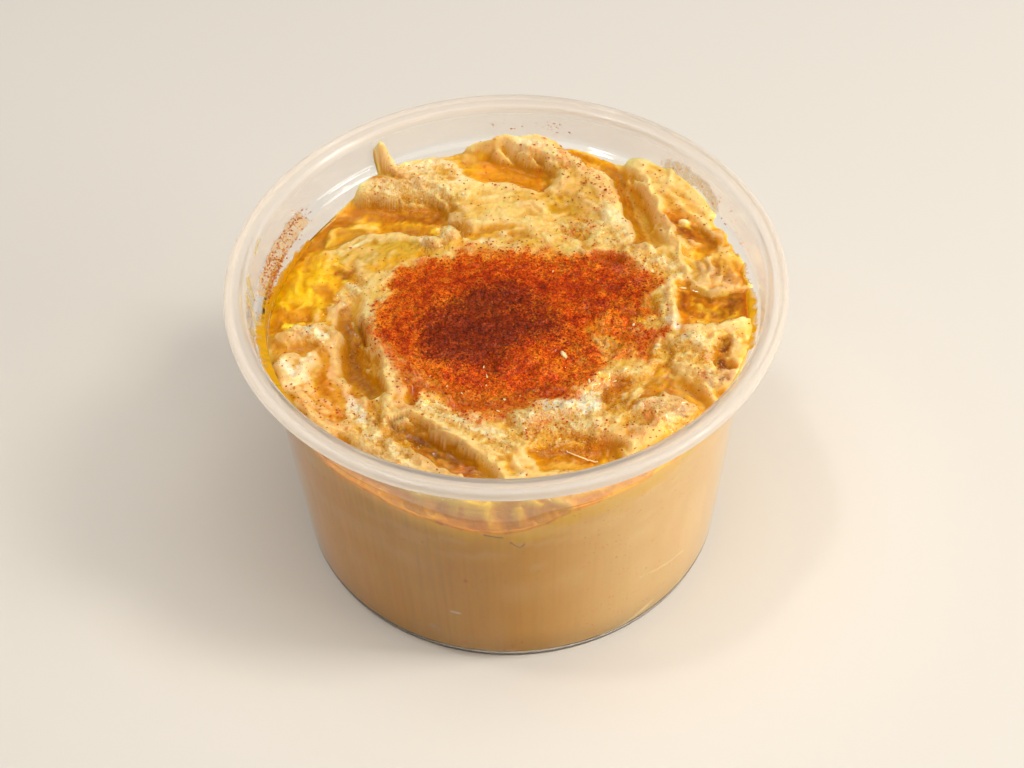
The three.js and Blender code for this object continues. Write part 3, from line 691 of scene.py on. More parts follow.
# the colour: cream hummus stained by oil
tones = {
    "cream": (249, 210, 124),
    "pale": (253, 232, 178),
    "white": (253, 244, 220),
    "clay": (190, 127, 56),
    "tan": (222, 176, 92),
    "golden": (232, 172, 26),
    "yellow": (233, 190, 10),
    "olive": (216, 172, 52),
    "amber": (208, 136, 4),
    # brown: oil stain darkened by painted shade
    "brown": (166, 92, 6),
    "orange": (220, 134, 10),
    "mauve": (176, 120, 66),
    "wall": (221, 163, 22),
    "honey": (214, 152, 8),
    "ochre": (202, 140, 20),
    "caramel": (222, 162, 62),
    # umber: oil stain darkened further by painted shade
    "umber": (154, 94, 16),
    "smear": (240, 222, 160),
    "film": (240, 184, 64),
    "arc": (216, 180, 84),
    "contact": (240, 178, 16),
    # crease: darker marks on the body, painted shade in its V fold
    "crease": (184, 130, 48),
    "paleWall": (234, 206, 150),
}

# painted over each other in order: tone, reach, share at full strength, then x, y and strength
tints = [
    # back left
    ("pale", 4.5, 0.25, (-29, 44.6, 1), (-26, 43, 0.9), (-18, 43, 1), (-10, 42, 0.8)),
    ("golden", 2.2, 0.25, (-14, 43.4, 0.7), (-12, 42, 0.8), (-15, 40.8, 0.6)),
    ("amber", 1.8, 0.25, (-29, 41.6, 0.7), (-26, 41, 0.8), (-21, 40.6, 0.8), (-17, 38.6, 0.6)),
    ("pale", 2.8, 0.25, (-28, 38.4, 0.6), (-20, 37.6, 0.6), (-13, 36.4, 0.6)),
    ("ochre", 3, 0.4, (-34, 35, 0.9), (-27, 34, 1), (-18, 33.4, 0.9), (-12, 32.6, 0.9), (-9.5, 29, 0.6)),
    # painted shade at the foot of the shelf's face
    ("brown", 1.8, 0.25, (-26, 33.2, 0.5), (-18, 32.6, 0.6), (-12, 31.6, 0.5)),
    ("ochre", 3, 0.25, (-26, 30, 0.9), (-20, 28.6, 1), (-12, 28, 0.9), (-9, 26.6, 0.7)),
    ("olive", 5.5, 0.4, (-38, 22, 0.9), (-34, 27, 1), (-28, 25, 1), (-22, 22, 0.9)),
    ("olive", 2.8, 0.25, (-32, 18, 0.8), (-26, 18.6, 0.8), (-21, 18.4, 0.5)),
    # painted highlight: a thin pale line along the lobe's crest
    ("pale", 0.9, 0.25, (-36, 21.6, 0.7), (-33, 23, 0.8), (-28.6, 25.4, 0.8)),
    ("mauve", 1.8, 0.25, (-36, 16.4, 0.9), (-34.4, 15.4, 0.9)),
    ("yellow", 6, 0.4, (-49, 6, 0.9), (-47, 14, 1), (-43, 19, 0.9), (-38, 20, 0.5)),
    ("amber", 2.2, 0.25, (-43, 13, 0.5), (-39.4, 11, 0.8), (-37.4, 8, 0.7)),
    ("ochre", 4.2, 0.25, (-47, 23, 0.9), (-41, 28.6, 1), (-35, 33, 0.8)),
    ("ochre", 2.4, 0.25, (-42, 21, 0.5), (-39.6, 24.6, 0.7)),
    ("pale", 2.2, 0.25, (-17, 22.4, 0.9), (-14.4, 21.6, 1)),
    ("pale", 2.2, 0.25, (-14.6, 28.4, 0.9), (-12.2, 25.6, 1), (-11.6, 23.4, 0.8)),
    ("pale", 1.7, 0.25, (-4.4, 23, 0.9), (0.6, 23.8, 1), (1.6, 22.4, 0.6)),
    ("pale", 1.7, 0.25, (-34.4, 13.4, 0.9), (-33, 11, 1), (-32.4, 9.4, 0.9)),
    ("golden", 2.4, 0.25, (-30, 15.6, 0.8), (-24, 17, 0.8), (-18, 19.6, 0.7), (-10, 22, 0.7)),
    ("golden", 1.8, 0.25, (-9, 24, 0.9), (-4, 25.6, 0.8), (3, 25.6, 0.7)),
    # back: the bowl and the swell
    ("golden", 3, 0.4, (-8.6, 47, 0.9), (-3, 47.4, 1), (2, 46.6, 0.8)),
    ("golden", 4.2, 0.5, (-7, 45.4, 0.9), (-4, 44, 1), (3, 43.4, 1), (7.6, 40.4, 0.9)),
    ("ochre", 1.6, 0.25, (-1, 41, 0.5), (3, 40.4, 0.7), (8, 38.2, 0.8)),
    ("olive", 2.8, 0.25, (11, 31, 0.9), (13.6, 32.6, 0.7), (15.6, 29.4, 0.7)),
    ("tan", 2.6, 0.25, (15.6, 33, 0.6), (19, 28, 0.6), (20, 25.4, 0.6)),
    ("pale", 1.8, 0.25, (2, 47.9, 0.8), (7, 47.4, 0.9), (12, 44.6, 0.7)),
    ("pale", 3, 0.25, (20, 27.6, 0.6), (25, 24.6, 0.7), (28, 20.6, 0.8)),
    ("golden", 2, 0.25, (15.6, 23.8, 0.7), (17, 22, 0.7)),
    ("honey", 1.9, 0.25, (13, 48.4, 0.9), (19.6, 45.8, 1), (24.6, 43, 1), (26.4, 40.6, 0.9)),
    ("ochre", 2.4, 0.4, (25, 41, 1), (26.4, 35, 1), (27.4, 28, 1), (29, 20, 0.9), (29.4, 15.6, 0.6)),
    # right back
    ("amber", 3.2, 0.5, (36.8, 25, 1), (40.4, 21.6, 1), (43.6, 18, 1), (46, 19.6, 0.9)),
    ("ochre", 3.8, 0.3, (37, 24, 1), (39, 21, 1), (42, 18, 1), (45, 19, 0.9), (48, 16, 0.7)),
    # painted shade in the valley
    ("brown", 2.4, 0.25, (37, 24, 0.8), (39, 21, 0.9), (42, 18, 0.8), (45, 19, 0.7)),
    ("caramel", 3.6, 0.5, (41, 4, 1), (46.4, 3.4, 1), (49, 6, 1), (46, 9, 1), (42, 7, 0.8)),
    # painted shade on the side of the right mound
    ("clay", 3.4, 0.3, (41.6, 10, 0.7), (45, 8, 0.9), (49, 6, 0.8), (50, 9, 0.6)),
    ("golden", 1.2, 0.25, (37.4, 18, 0.8), (38.6, 13, 0.9), (39.8, 9, 0.8)),
    ("pale", 1.3, 0.25, (39.2, 24.4, 0.9), (40, 23.2, 0.9)),
    ("pale", 1.8, 0.25, (31, 18, 0.8), (32, 15, 0.8), (34, 11.6, 0.6), (37, 8.6, 0.7)),
    ("orange", 2.2, 0.4, (19.6, 14.6, 1), (22, 13.2, 1), (24.4, 12.6, 0.9)),
    ("golden", 1.6, 0.25, (16.6, 16, 0.8), (19.6, 17.6, 0.6)),
    # right: pool and lumps
    ("amber", 2.6, 0.25, (37.4, 2, 1), (38, -4, 0.9), (45, 1.4, 1), (50.4, 1, 1), (50.4, -4, 1)),
    # painted shade: umber in the pool
    ("umber", 1.7, 0.4, (43.6, 1.6, 0.9), (48, 1, 0.9), (46.4, -2, 0.9), (44, -3.6, 0.7)),
    ("clay", 1.5, 0.4, (40.2, 0.4, 1), (41.6, -1.8, 1), (43.2, -4, 0.8)),
    # painted shade at the pool's edge
    ("brown", 1.3, 0.25, (37, 2.4, 0.9), (36.8, -2, 0.9)),
    ("tan", 2.4, 0.25, (38.4, -8, 0.9), (42, -8.4, 1), (46, -9, 0.9)),
    ("orange", 1.1, 0.25, (36.6, -5, 0.8), (37, -9, 0.8), (35.6, -10.6, 0.6)),
    ("white", 1.4, 0.25, (34.4, -5.6, 0.9), (34.8, -8, 1)),
    ("pale", 1.9, 0.25, (36.4, -12, 0.9), (39.4, -12.6, 0.9)),
    ("golden", 1.4, 0.25, (34, -13, 0.8), (33.6, -16.6, 0.9), (31, -18.6, 0.7)),
    # painted shade in the crevice and in the hollow by the wall
    ("brown", 1.4, 0.25, (42.6, -17.6, 0.9), (43.6, -14, 1), (46, -12.4, 0.9), (47.6, -15, 0.6)),
    ("brown", 2, 0.25, (44, -17, 0.9), (44.6, -24, 1), (46, -20, 0.7)),
    ("mauve", 1.6, 0.25, (40.6, -20, 0.6), (41.6, -22.6, 0.7)),
    # front right
    ("white", 3.4, 0.5, (8, -26, 0.9), (12, -27, 1), (18, -25.4, 1), (21.6, -22.6, 0.7)),
    ("white", 2.4, 0.3, (9, -29, 0.8), (13, -28.6, 0.9), (18, -27, 1), (21, -25, 0.9)),
    ("pale", 2.6, 0.25, (2, -31, 0.8), (9, -31, 0.8), (17, -31.4, 0.7)),
    ("amber", 2.4, 0.4, (20.6, -28.6, 1), (21, -24, 1), (23.6, -21, 0.9)),
    ("amber", 2.8, 0.3, (23.6, -27.4, 1), (27.6, -25, 0.9), (29.6, -22, 0.9)),
    ("cream", 1, 0.25, (26, -25, 0.8), (27, -23, 0.8)),
    ("ochre", 3.2, 0.4, (31.6, -21.6, 0.9), (33, -26, 1), (35.6, -28.6, 0.9)),
    # painted shade in the hollow
    ("brown", 1.9, 0.25, (32, -29.4, 0.8), (35.4, -29.8, 1), (37.4, -27.6, 1)),
    ("tan", 1.8, 0.25, (35, -22.6, 0.9), (36.6, -25.6, 0.9)),
    ("pale", 1.6, 0.25, (26, -29, 0.7), (29, -28.2, 0.8), (32, -32, 0.7)),
    ("caramel", 3.4, 0.4, (24, -34, 0.8), (28, -33, 0.9), (30, -30, 0.7)),
    ("golden", 1.8, 0.25, (19.6, -31.6, 0.6), (22.6, -30, 0.6)),
    ("golden", 2.2, 0.25, (4, -36, 0.9), (8, -34.6, 0.9), (14, -34.2, 0.8), (22, -36, 0.8)),
    ("amber", 3, 0.3, (5, -38.6, 0.9), (12, -37, 0.9), (20, -37.6, 0.8)),
    ("golden", 3, 0.25, (-2, -45, 0.8), (8, -43, 0.9), (22, -40, 0.9), (32, -35, 0.8)),
    ("yellow", 5, 0.5, (-44, -25, 0.9), (-34, -37, 1), (-22, -45, 1), (-6, -49.5, 1), (4, -49, 0.9)),
    ("ochre", 1.6, 0.25, (-14, -47.6, 0.9), (-4, -49, 1), (4, -49, 0.8)),
    ("golden", 3.6, 0.25, (4, -49.5, 0.9), (20, -46, 0.9), (36, -36, 0.9), (44, -26, 0.8)),
    ("golden", 1.8, 0.25, (-2, -41, 0.7), (1, -38, 0.6)),
    ("pale", 1, 0.25, (0.6, -40.4, 0.8), (2.8, -43.6, 0.8)),
    # front left
    ("caramel", 8, 0.6, (-49, 0, 0.9), (-42, 0, 1), (-38.6, -8, 1), (-39, -20, 1), (-33, -31, 1),
     (-24, -40, 0.8)),
    ("pale", 2.4, 0.25, (-17, -26, 0.9), (-11, -28, 1), (-6, -31.4, 0.9), (-2, -33.6, 0.7)),
    ("ochre", 3, 0.4, (-19.4, -35, 0.9), (-17, -40, 0.9), (-12, -43, 0.9), (-6, -45, 0.9)),
    # painted shade in the spoon pit, umber and brown
    ("umber", 2.8, 0.25, (-22.6, -30, 1), (-19, -31.6, 1), (-14, -34.4, 1), (-8, -38.6, 1)),
    ("brown", 2.6, 0.25, (-17, -37, 0.5), (-12, -40, 0.7), (-7, -42, 0.7)),
    ("pale", 1.4, 0.25, (-23.4, -34, 0.7), (-22.6, -38, 0.8), (-19.6, -40.6, 0.7)),
    # painted shade in the small hollow
    ("brown", 1.5, 0.25, (-20.4, -19, 0.7), (-19.6, -24.6, 0.9)),
    ("orange", 2, 0.25, (-22.4, -20, 0.8), (-22.6, -25, 0.9), (-20, -27, 0.7)),
    ("golden", 5, 0.4, (-39, -9, 0.5), (-37, -16, 0.6), (-37.6, -23, 0.6), (-33, -31, 0.6)),
    ("honey", 3, 0.25, (-44, -22, 0.8), (-40, -27, 0.8), (-35, -32, 0.7)),
    ("orange", 3.4, 0.25, (-39, -9, 0.6), (-37, -14, 0.7), (-36.6, -22, 0.6), (-34, -30, 0.5)),
    ("orange", 1.9, 0.25, (-34.6, -19.6, 0.6), (-30.6, -22, 0.7), (-28, -24, 0.6)),
    ("pale", 2.3, 0.25, (-32, -25, 0.7), (-29.6, -28, 0.9), (-27.4, -32, 0.8)),
    ("pale", 1, 0.25, (-28.4, -21.8, 0.8), (-25.6, -22.6, 0.9)),
    ("white", 1.3, 0.25, (-33.4, -21.4, 0.5), (-31, -25, 0.9), (-29.6, -27.6, 0.9)),
    ("pale", 1.1, 0.25, (-30, -34.6, 0.7), (-26.6, -37.6, 0.8)),
    ("pale", 1.6, 0.25, (-41, -27, 0.5), (-37.6, -31, 0.6)),
    # painted shade in the groove beside the cliff
    ("clay", 3.2, 0.3, (-35, 5, 0.6), (-34.6, -2, 0.8), (-33.4, -9, 0.8), (-29.8, -15, 0.8),
     (-27.4, -19, 0.7)),
    ("ochre", 1.7, 0.25, (-31.6, -4, 0.9), (-30.4, -9, 1), (-28.8, -13.6, 1), (-27, -18, 0.9)),
    # painted shade in the hole at the cliff
    ("brown", 1.1, 0.25, (-30.8, 0.4, 1), (-29.6, -4, 1), (-29, -6, 0.7)),
    # pale paste on the fold, with a painted sheen along it in white
    ("pale", 2.6, 0.3, (-46.6, -13.6, 0.8), (-44.4, -17, 1), (-42, -15.6, 1), (-40.8, -12, 0.9),
     (-40.8, -9.4, 0.7)),
    ("white", 1.7, 0.3, (-46, -13.8, 0.8), (-44.4, -16.4, 1), (-42.4, -15.2, 1), (-41.2, -12.2, 1),
     (-41, -9.8, 0.7)),
    ("pale", 1.8, 0.25, (-46.6, 0.6, 0.9), (-43.6, -2.4, 1), (-39.2, -5.4, 1)),
    ("golden", 2, 0.25, (-49, -2, 0.9), (-42, -1.4, 0.9), (-38, 1, 0.9), (-41, 5, 0.8)),
    ("pale", 1.8, 0.25, (-46.6, 0.6, 1), (-42.4, 0.8, 1)),
    ("white", 1.5, 0.3, (-45.6, -0.6, 0.8), (-42.6, -2.8, 1), (-39.6, -4.8, 1)),
    # right of the paprika: stained cream
    ("golden", 4, 0.3, (17, -8, 0.8), (22, -10, 0.9), (28, -14, 0.9), (30, -17.6, 0.8)),
    ("amber", 2.6, 0.3, (-26, -8, 0.8), (-23.4, -14, 1), (-21, -20, 1)),
    ("amber", 2.6, 0.25, (-20, -20, 0.9), (-14, -22, 0.9), (-8, -25, 0.9), (-2, -25, 0.7)),
    ("golden", 3, 0.25, (-14, -18, 0.8), (-6, -21, 0.9), (4, -23, 0.9), (10, -20, 0.8)),
    ("golden", 3, 0.25, (28, -3, 0.8), (31.6, 0, 0.8)),
]
# how ragged the edges are, the hollows' oil darkened by painted shade, and paste soaked under the oil
tintForm = {"ragged": 0.7, "oilAndShadeInHollows": (0.86, 0.66, 0.16), "soaked": (0.84, 0.9, 0.2), "soakDepth": 0.5}


def toneOf(name):
    return np.array(srgb(*tones[name])[:3])


def toward(color, tone, share):
    # moves the colours toward one tone
    return color + (toneOf(tone) - color) * share[:, None]


def tintAt(x, y, hollow, oilDepth, steep):
    # the colour of the hummus, with ragged edges, oil and painted shade in the hollows, and dry ridges
    z = readMap(mapZ, x, y)
    u, v = x + 0.6 * z, y + z
    warpX = x + 1.5 * (noise(u / 2.2, v / 2.2, 71) - 0.5) + 0.7 * (noise(u / 0.8, v / 0.8, 72) - 0.5)
    warpY = y + 1.5 * (noise(u / 2.2, v / 2.2, 73) - 0.5) + 0.7 * (noise(u / 0.8, v / 0.8, 74) - 0.5)
    grain = noise(u / 0.9, v / 0.9, 75) - 0.5
    drift = noise(warpX / 5.5, warpY / 5.5, 76)
    drawnX, drawnY = warpX + 0.6 * z, warpY + z
    mottle = 0.6 * spooned(x, y, drawnX, drawnY, 1.6, 85) + 0.4 * spooned(x, y, drawnX, drawnY, 0.7, 95)
    veins = 1 - np.abs(2 * spooned(x, y, drawnX, drawnY, 1.3, 105) - 1)
    gentle = 1 - smooth(0.6, 1.5, steep)
    color = np.tile(toneOf("cream"), (len(x), 1))
    color = toward(color, "golden", 0.5 * smooth(0.3, 0.8, drift))
    for tone, reach, flat, *path in tints:
        picked, distance, side, strength, along = nearPath(path, warpX, warpY, reach)
        weight = strokeWeight(distance / reach, flat, 0) * strength
        weight = smooth(0.02, 0.85, weight * (1 + tintForm["ragged"] * grain[picked]))
        color[picked] = toward(color[picked], tone, weight * np.minimum(1, 0.25 + 0.85 * strength))
    color = toward(color, "golden", 0.45 * smooth(0.52, 0.8, mottle))
    color = toward(color, "golden", 0.5 * smooth(0.8, 0.97, veins) * smooth(0.3, 0.6, drift))
    color = toward(color, "golden", 0.5 * smooth(0.4, 1.3, steep))
    notOily = smooth(0.2, 0.5, color[:, 2] / color[:, 0])
    color = toward(color, "pale", 0.45 * smooth(0.48, 0.24, mottle) * notOily)
    # oil gathered in the hollows, made darker and more saturated by painted shade; the ridges paler and dry
    oilAndShadeInHollows = smooth(0.03, 0.6, hollow + 0.25 * grain)
    risen = smooth(0.03, 0.5, -hollow + 0.25 * grain)
    color *= 1 - (1 - np.array(tintForm["oilAndShadeInHollows"])) * (0.8 * oilAndShadeInHollows)[:, None]
    color = toward(color, "pale", 0.4 * risen)
    soaked = smooth(0.02, tintForm["soakDepth"], oilDepth)
    color *= 1 - (1 - np.array(tintForm["soaked"])) * soaked[:, None]
    return color * (0.99 + 0.2 * (0.3 + 0.7 * gentle) * (noise(u / 0.55, v / 0.55, 78) - 0.5))[:, None]


paprikaOutline = [(-28.6, -4), (-29, 3), (-27, 12), (-20, 17), (-12, 19.5), (0, 20), (12, 19), (19, 16),
                  (26, 9), (32, 7.5), (31, 3.5), (31, -6), (26, -12), (20, -18), (10, -22.5),
                  (1, -23.5), (-6, -26), (-12, -23.5), (-17, -18), (-22.5, -13)]

# powder: reach, share at full strength, then x, y and how much lies there, from 0 to 1
dustPatches = [
    (11, 0.5, (-16, 9, 0.9), (-4, 9, 1), (10, 6, 1), (20, 7, 0.95)),
    (11, 0.5, (-20, -4, 0.85), (-10, -8, 1), (2, -8, 1), (10, -2, 0.95)),
    (5, 0.4, (-24, 4, 0.75), (-25, -6, 0.6)),
    (5, 0.4, (0, -13, 0.8), (8, -14, 0.85), (13, -12, 0.7)),
    (4, 0.4, (16, 0, 0.75), (21, -2, 0.7), (25, -4, 0.6)),
    (4.2, 0.4, (-12, 14.2, 0.85), (0, 15.2, 0.75), (11, 13.4, 0.7), (15, 11, 0.6)),
    (3.6, 0.4, (18, 8, 0.95), (26, 6.4, 1), (31.6, 5.4, 0.9)),
    (5, 0.5, (14, 3, 1), (23, 2.6, 1), (26, 0, 0.8)),
    (5, 0.4, (12, -8, 0.85), (16, -14, 0.8), (14, -20, 0.85)),
    (3.4, 0.3, (20, -6, 0.6), (26, -9, 0.8), (32, -8.6, 0.75)),
    (4, 0.3, (22, -14, 0.55), (27, -14, 0.55)),
    (4.8, 0.5, (-18, -13, 0.75), (-8, -17, 1), (0, -19.6, 0.95), (8, -21, 0.95)),
    (4.6, 0.3, (-19, -17, 0.45), (-10, -23, 0.55), (-2, -26, 0.55), (5, -25.4, 0.5), (12, -23.6, 0.45)),
    (2.4, 0.3, (-12, -24, 0.6), (-9, -27.4, 0.7), (-6, -29.4, 0.5)),
    (1.5, 0.3, (-6, -25, 0.7), (-3.4, -28, 0.7), (-2, -31, 0.5)),
    (1.6, 0.2, (14, -22, 0.6), (18.6, -22.4, 0.6), (21.8, -20.8, 0.6)),
    (3.4, 0.2, (24, 1.6, 0.3), (28, 0.4, 0.4), (31, -2, 0.3)),
    (1.6, 0.3, (3, -24.6, 0.8), (4, -27, 0.6)),
    (1.8, 0.3, (8, -23.6, 0.9), (11, -24.8, 0.8)),
    (1.7, 0.2, (3.4, -34.2, 0.75), (5, -33.4, 0.8)),
    (1.6, 0.2, (23, -21.2, 0.75), (23.6, -22.4, 0.6)),
    (3.4, 0.2, (26, -30, 0.3), (29.6, -29.6, 0.4), (29, -33, 0.35)),
    (3.6, 0.2, (6, -31, 0.25), (16, -35, 0.35), (24, -36, 0.35)),
    (2.4, 0.2, (-23, -15.4, 0.6), (-20.6, -16, 0.5), (-20, -22, 0.5)),
    (3, 0.2, (36, -18, 0.15), (40, -22, 0.3)),
    (4, 0.2, (33, 36, 0.1), (40, 30, 0.14), (44, 24, 0.1)),
    (5, 0.2, (8, 46, 0.2), (17, 41, 0.25), (24, 33, 0.3)),
    (1.5, 0.2, (3, 21.6, 0.4), (4, 22.2, 0.3)),
    (3, 0.2, (14, 21.6, 0.35), (17, 23.4, 0.5)),
    (2.4, 0.2, (-25, 12, 0.3), (-18, 17, 0.25), (-8, 20, 0.3), (2, 20.4, 0.3), (12, 17, 0.3)),
    (2.6, 0.2, (29, 9, 0.45), (33, 7.4, 0.4)),
    (2.6, 0.2, (-26.6, -6, 0.4), (-24, -13, 0.45), (-21.6, -18, 0.4)),
    (4, 0.2, (-44, -20, 0.2), (-36, -26, 0.25), (-30, -28, 0.2)),
    (8, 0.2, (6, 42, 0.1), (14, 36, 0.15), (20, 28, 0.15)),
    (1, 0.2, (-4.6, 39.4, 0.3), (0, 38.4, 0.4), (6, 37, 0.3)),
    (2, 0.2, (41, -21, 0.4), (42, -19, 0.3)),
    (3, 0.2, (-32, -23.4, 0.12), (-38, -13, 0.15)),
    (2, 0.2, (10, -35, 0.2), (14, -34.4, 0.2), (20, -35, 0.25)),
]
# the same for the powder that is thick and dark
darkPatches = [
    (8, 0.3, (-12, -3, 0.85), (-3, 2, 0.95), (4, 3, 0.7)),
    (6.5, 0.4, (-15, -9, 0.9), (-8, -8, 1), (0, -7, 1), (7, -5, 0.8)),
    (4.5, 0.3, (-12, -13, 0.7), (-3, -14, 0.8), (-3, -18, 0.6)),
    (4, 0.3, (2, -2, 0.8), (10, -5, 0.7), (12, -10, 0.55)),
    (3, 0.2, (20, 5.4, 0.35), (27, 4.8, 0.5), (30, 5, 0.4)),
    (4, 0.2, (-4, 6, 0.6), (0, 8, 0.4)),
    (1.2, 0.2, (16, -21.4, 0.7), (19, -21, 0.7)),
    (1.4, 0.2, (9, -25, 0.4), (11, -25.4, 0.5)),
    (2.6, 0.2, (18, -1, 0.25), (22, -3, 0.3)),
    (4, 0.2, (-18, 7, 0.2), (-8, 11, 0.25), (6, 10, 0.2)),
]


def insideOutline(outline, x, y):
    # millimetres inside the closed outline, negative outside
    loop = curvePoints(list(outline) + [outline[0]], 4)
    inside = np.zeros(x.shape, bool)
    nearest = np.full(x.shape, 1e9)
    for (x0, y0), (x1, y1) in zip(loop[:-1], loop[1:]):
        crossing = (y0 > y) != (y1 > y)
        with np.errstate(divide="ignore", invalid="ignore"):
            cut = x0 + (y - y0) * (x1 - x0) / (y1 - y0)
        inside ^= crossing & (x < cut)
        length2 = max((x1 - x0) ** 2 + (y1 - y0) ** 2, 1e-12)
        t = np.clip(((x - x0) * (x1 - x0) + (y - y0) * (y1 - y0)) / length2, 0, 1)
        nearest = np.minimum(nearest, np.hypot(x - x0 - (x1 - x0) * t, y - y0 - (y1 - y0) * t))
    return np.where(inside, nearest, -nearest)


# a square map of the surface, for what the point-by-point functions can't know: its half side
# and step, and how far out the open food reaches before it meets the wall
mapForm = {"half": 54.0, "step": 0.3, "wall": 50.4}
mapCount = int(2 * mapForm["half"] / mapForm["step"]) + 1
mapSide = np.linspace(-mapForm["half"], mapForm["half"], mapCount)
mapX, mapY = np.meshgrid(mapSide, mapSide)


def blurred(field, radius):
    # three box blurs in each direction, which is close to a round blur
    cellsWide = max(1, int(round(radius / mapForm["step"])))
    for _ in range(3):
        for axis in (0, 1):
            padded = np.pad(field, [(cellsWide, cellsWide) if a == axis else (0, 0) for a in (0, 1)],
                            mode="edge")
            total = np.cumsum(np.insert(padded, 0, 0, axis=axis), axis=axis)
            wide = 2 * cellsWide + 1
            upper = np.take(total, np.arange(wide, total.shape[axis]), axis=axis)
            lower = np.take(total, np.arange(0, total.shape[axis] - wide), axis=axis)
            field = (upper - lower) / wide
    return field


def readMap(field, x, y):
    u = np.clip((x + mapForm["half"]) / mapForm["step"], 0, mapCount - 1.001)
    v = np.clip((y + mapForm["half"]) / mapForm["step"], 0, mapCount - 1.001)
    i, j = u.astype(int), v.astype(int)
    fu, fv = u - i, v - j
    near = field[j, i] * (1 - fu) + field[j, i + 1] * fu
    far = field[j + 1, i] * (1 - fu) + field[j + 1, i + 1] * fu
    return near * (1 - fv) + far * fv


def overMap(function):
    return function(mapX.ravel(), mapY.ravel()).reshape(mapX.shape)


steepMap = np.hypot(*np.gradient(blurred(overMap(spoonedHeight), 0.6), mapForm["step"]))
mapZ = overMap(fineHeight)

# each pool's level, and a place in it
pools = [
    dict(name="oil_left", level=57.5, seed=(-46, 10)),
    dict(name="oil_back", level=60.1, seed=(2, 42.3)),
    dict(name="oil_right", level=61.8, seed=(47, -2)),
    dict(name="oil_right_back", level=61.7, seed=(44, 18.5)),
    dict(name="oil_front", level=55.8, seed=(-8, -47)),
]


def spread(mask):
    grown = mask.copy()
    grown[1:] |= mask[:-1]
    grown[:-1] |= mask[1:]
    grown[:, 1:] |= mask[:, :-1]
    grown[:, :-1] |= mask[:, 1:]
    return grown


def flooded(mask, row, column):
    # the connected part of the mask round one cell
    reached = np.zeros(mask.shape, bool)
    reached[row, column] = mask[row, column]
    while True:
        grown = spread(reached) & mask
        if (grown == reached).all():
            return reached
        reached = grown


def liquidLevels():
    # the oil's level over each point of the map, and far below where there is none
    levels = np.full(mapX.shape, -99.0)
    inPot = np.hypot(mapX, mapY) < mapForm["wall"]
    for pool in pools:
        column, row = ((np.array(pool["seed"]) + mapForm["half"]) / mapForm["step"]).round().astype(int)
        levels[flooded((mapZ < pool["level"] - 0.02) & inPot, row, column)] = pool["level"]
    return levels


def paintedMap(patches, softness):
    return blurred(overMap(lambda x, y: painted(patches, x, y)), softness)


hollowMap = blurred(mapZ, 1.0) - mapZ + 0.5 * (blurred(mapZ, 2.6) - mapZ)
dustMap = paintedMap(dustPatches, 1.1)
darkMap = paintedMap(darkPatches, 1.5)
tornMap = paintedMap(roughPatches, 0.6)
liquidMap = liquidLevels()
oilDepthMap = blurred(np.maximum(liquidMap - mapZ, 0), 0.3)
print("surface map worked out:", mapCount, "points a side")


def dustAt(x, y):
    # with a ragged edge
    ragged = 3.4 * (noise(x / 3.2, y / 3.2, 21) - 0.5) + 1.8 * (noise(x / 1.2, y / 1.2, 22) - 0.5)
    return readMap(dustMap, x + ragged, y - 0.8 * ragged)


def darkAt(x, y):
    ragged = 2.6 * (noise(x / 3.2, y / 3.2, 23) - 0.5) + 1.2 * (noise(x / 1.3, y / 1.3, 24) - 0.5)
    return readMap(darkMap, x + ragged, y + ragged)


# the disc grid that the hummus and the oil share
gridForm = {"cells": 280, "intoWall": 0.25, "firstRadius": 51.0, "rounds": 6}


def discGrid(count):
    # a square grid pressed into a disc, so that its edge follows the pot's wall
    side = np.linspace(-1, 1, count + 1)
    a, b = np.meshgrid(side, side)
    wide = np.abs(a) > np.abs(b)
    with np.errstate(divide="ignore", invalid="ignore"):
        angle = np.where(wide, math.pi / 4 * b / a, math.pi / 2 - math.pi / 4 * a / b)
    radius = np.where(wide, a, b)
    angle[~np.isfinite(angle)] = 0
    return (radius * np.cos(angle)).ravel(), (radius * np.sin(angle)).ravel()


def surfaceWallRadius(angle):
    # where the surface meets the wall: a few rounds of looking up both
    radius = np.full(angle.shape, gridForm["firstRadius"])
    for _ in range(gridForm["rounds"]):
        height = readMap(mapZ, radius * np.cos(angle), radius * np.sin(angle))
        radius = 0.5 * radius + 0.5 * (potInsideRadius(height) + gridForm["intoWall"])
    return radius


cells = gridForm["cells"]
discX, discY = discGrid(cells)
edgeAngles = np.linspace(-math.pi, math.pi, 721)
edgeRadii = surfaceWallRadius(edgeAngles)
gridAngle = np.arctan2(discY, discX)
gridReach = np.hypot(discX, discY) * np.interp(gridAngle, edgeAngles, edgeRadii)
gridX = gridReach * np.cos(gridAngle)
gridY = gridReach * np.sin(gridAngle)
gridZ = fineHeight(gridX, gridY)
print("food surface:", len(gridZ), "points, height", round(gridZ.min(), 1), "to", round(gridZ.max(), 1))


def gridQuads(across, along):
    # quads of a grid with that many cells, numbered row by row
    i, j = np.meshgrid(np.arange(across), np.arange(along))
    a = (j * (across + 1) + i).ravel()
    return np.stack([a, a + 1, a + across + 2, a + across + 1], 1)


def keptQuads(keep):
    # the quads whose four corners are all kept: the points they use, and the quads among those
    kept = keep[:-1, :-1] & keep[1:, :-1] & keep[:-1, 1:] & keep[1:, 1:]
    rows, columns = keep.shape
    used, flat = np.unique(gridQuads(columns - 1, rows - 1)[kept.ravel()], return_inverse=True)
    return used, flat.reshape(-1, 4)


def edgeLoop(n):
    # the points round the edge of a square grid of n by n cells
    low = np.arange(n)
    w = n + 1
    return np.concatenate([low, low * w + n, n * w + n - low, (n - low) * w])


slopeY, slopeX = np.gradient(blurred(mapZ, 0.3), mapForm["step"])


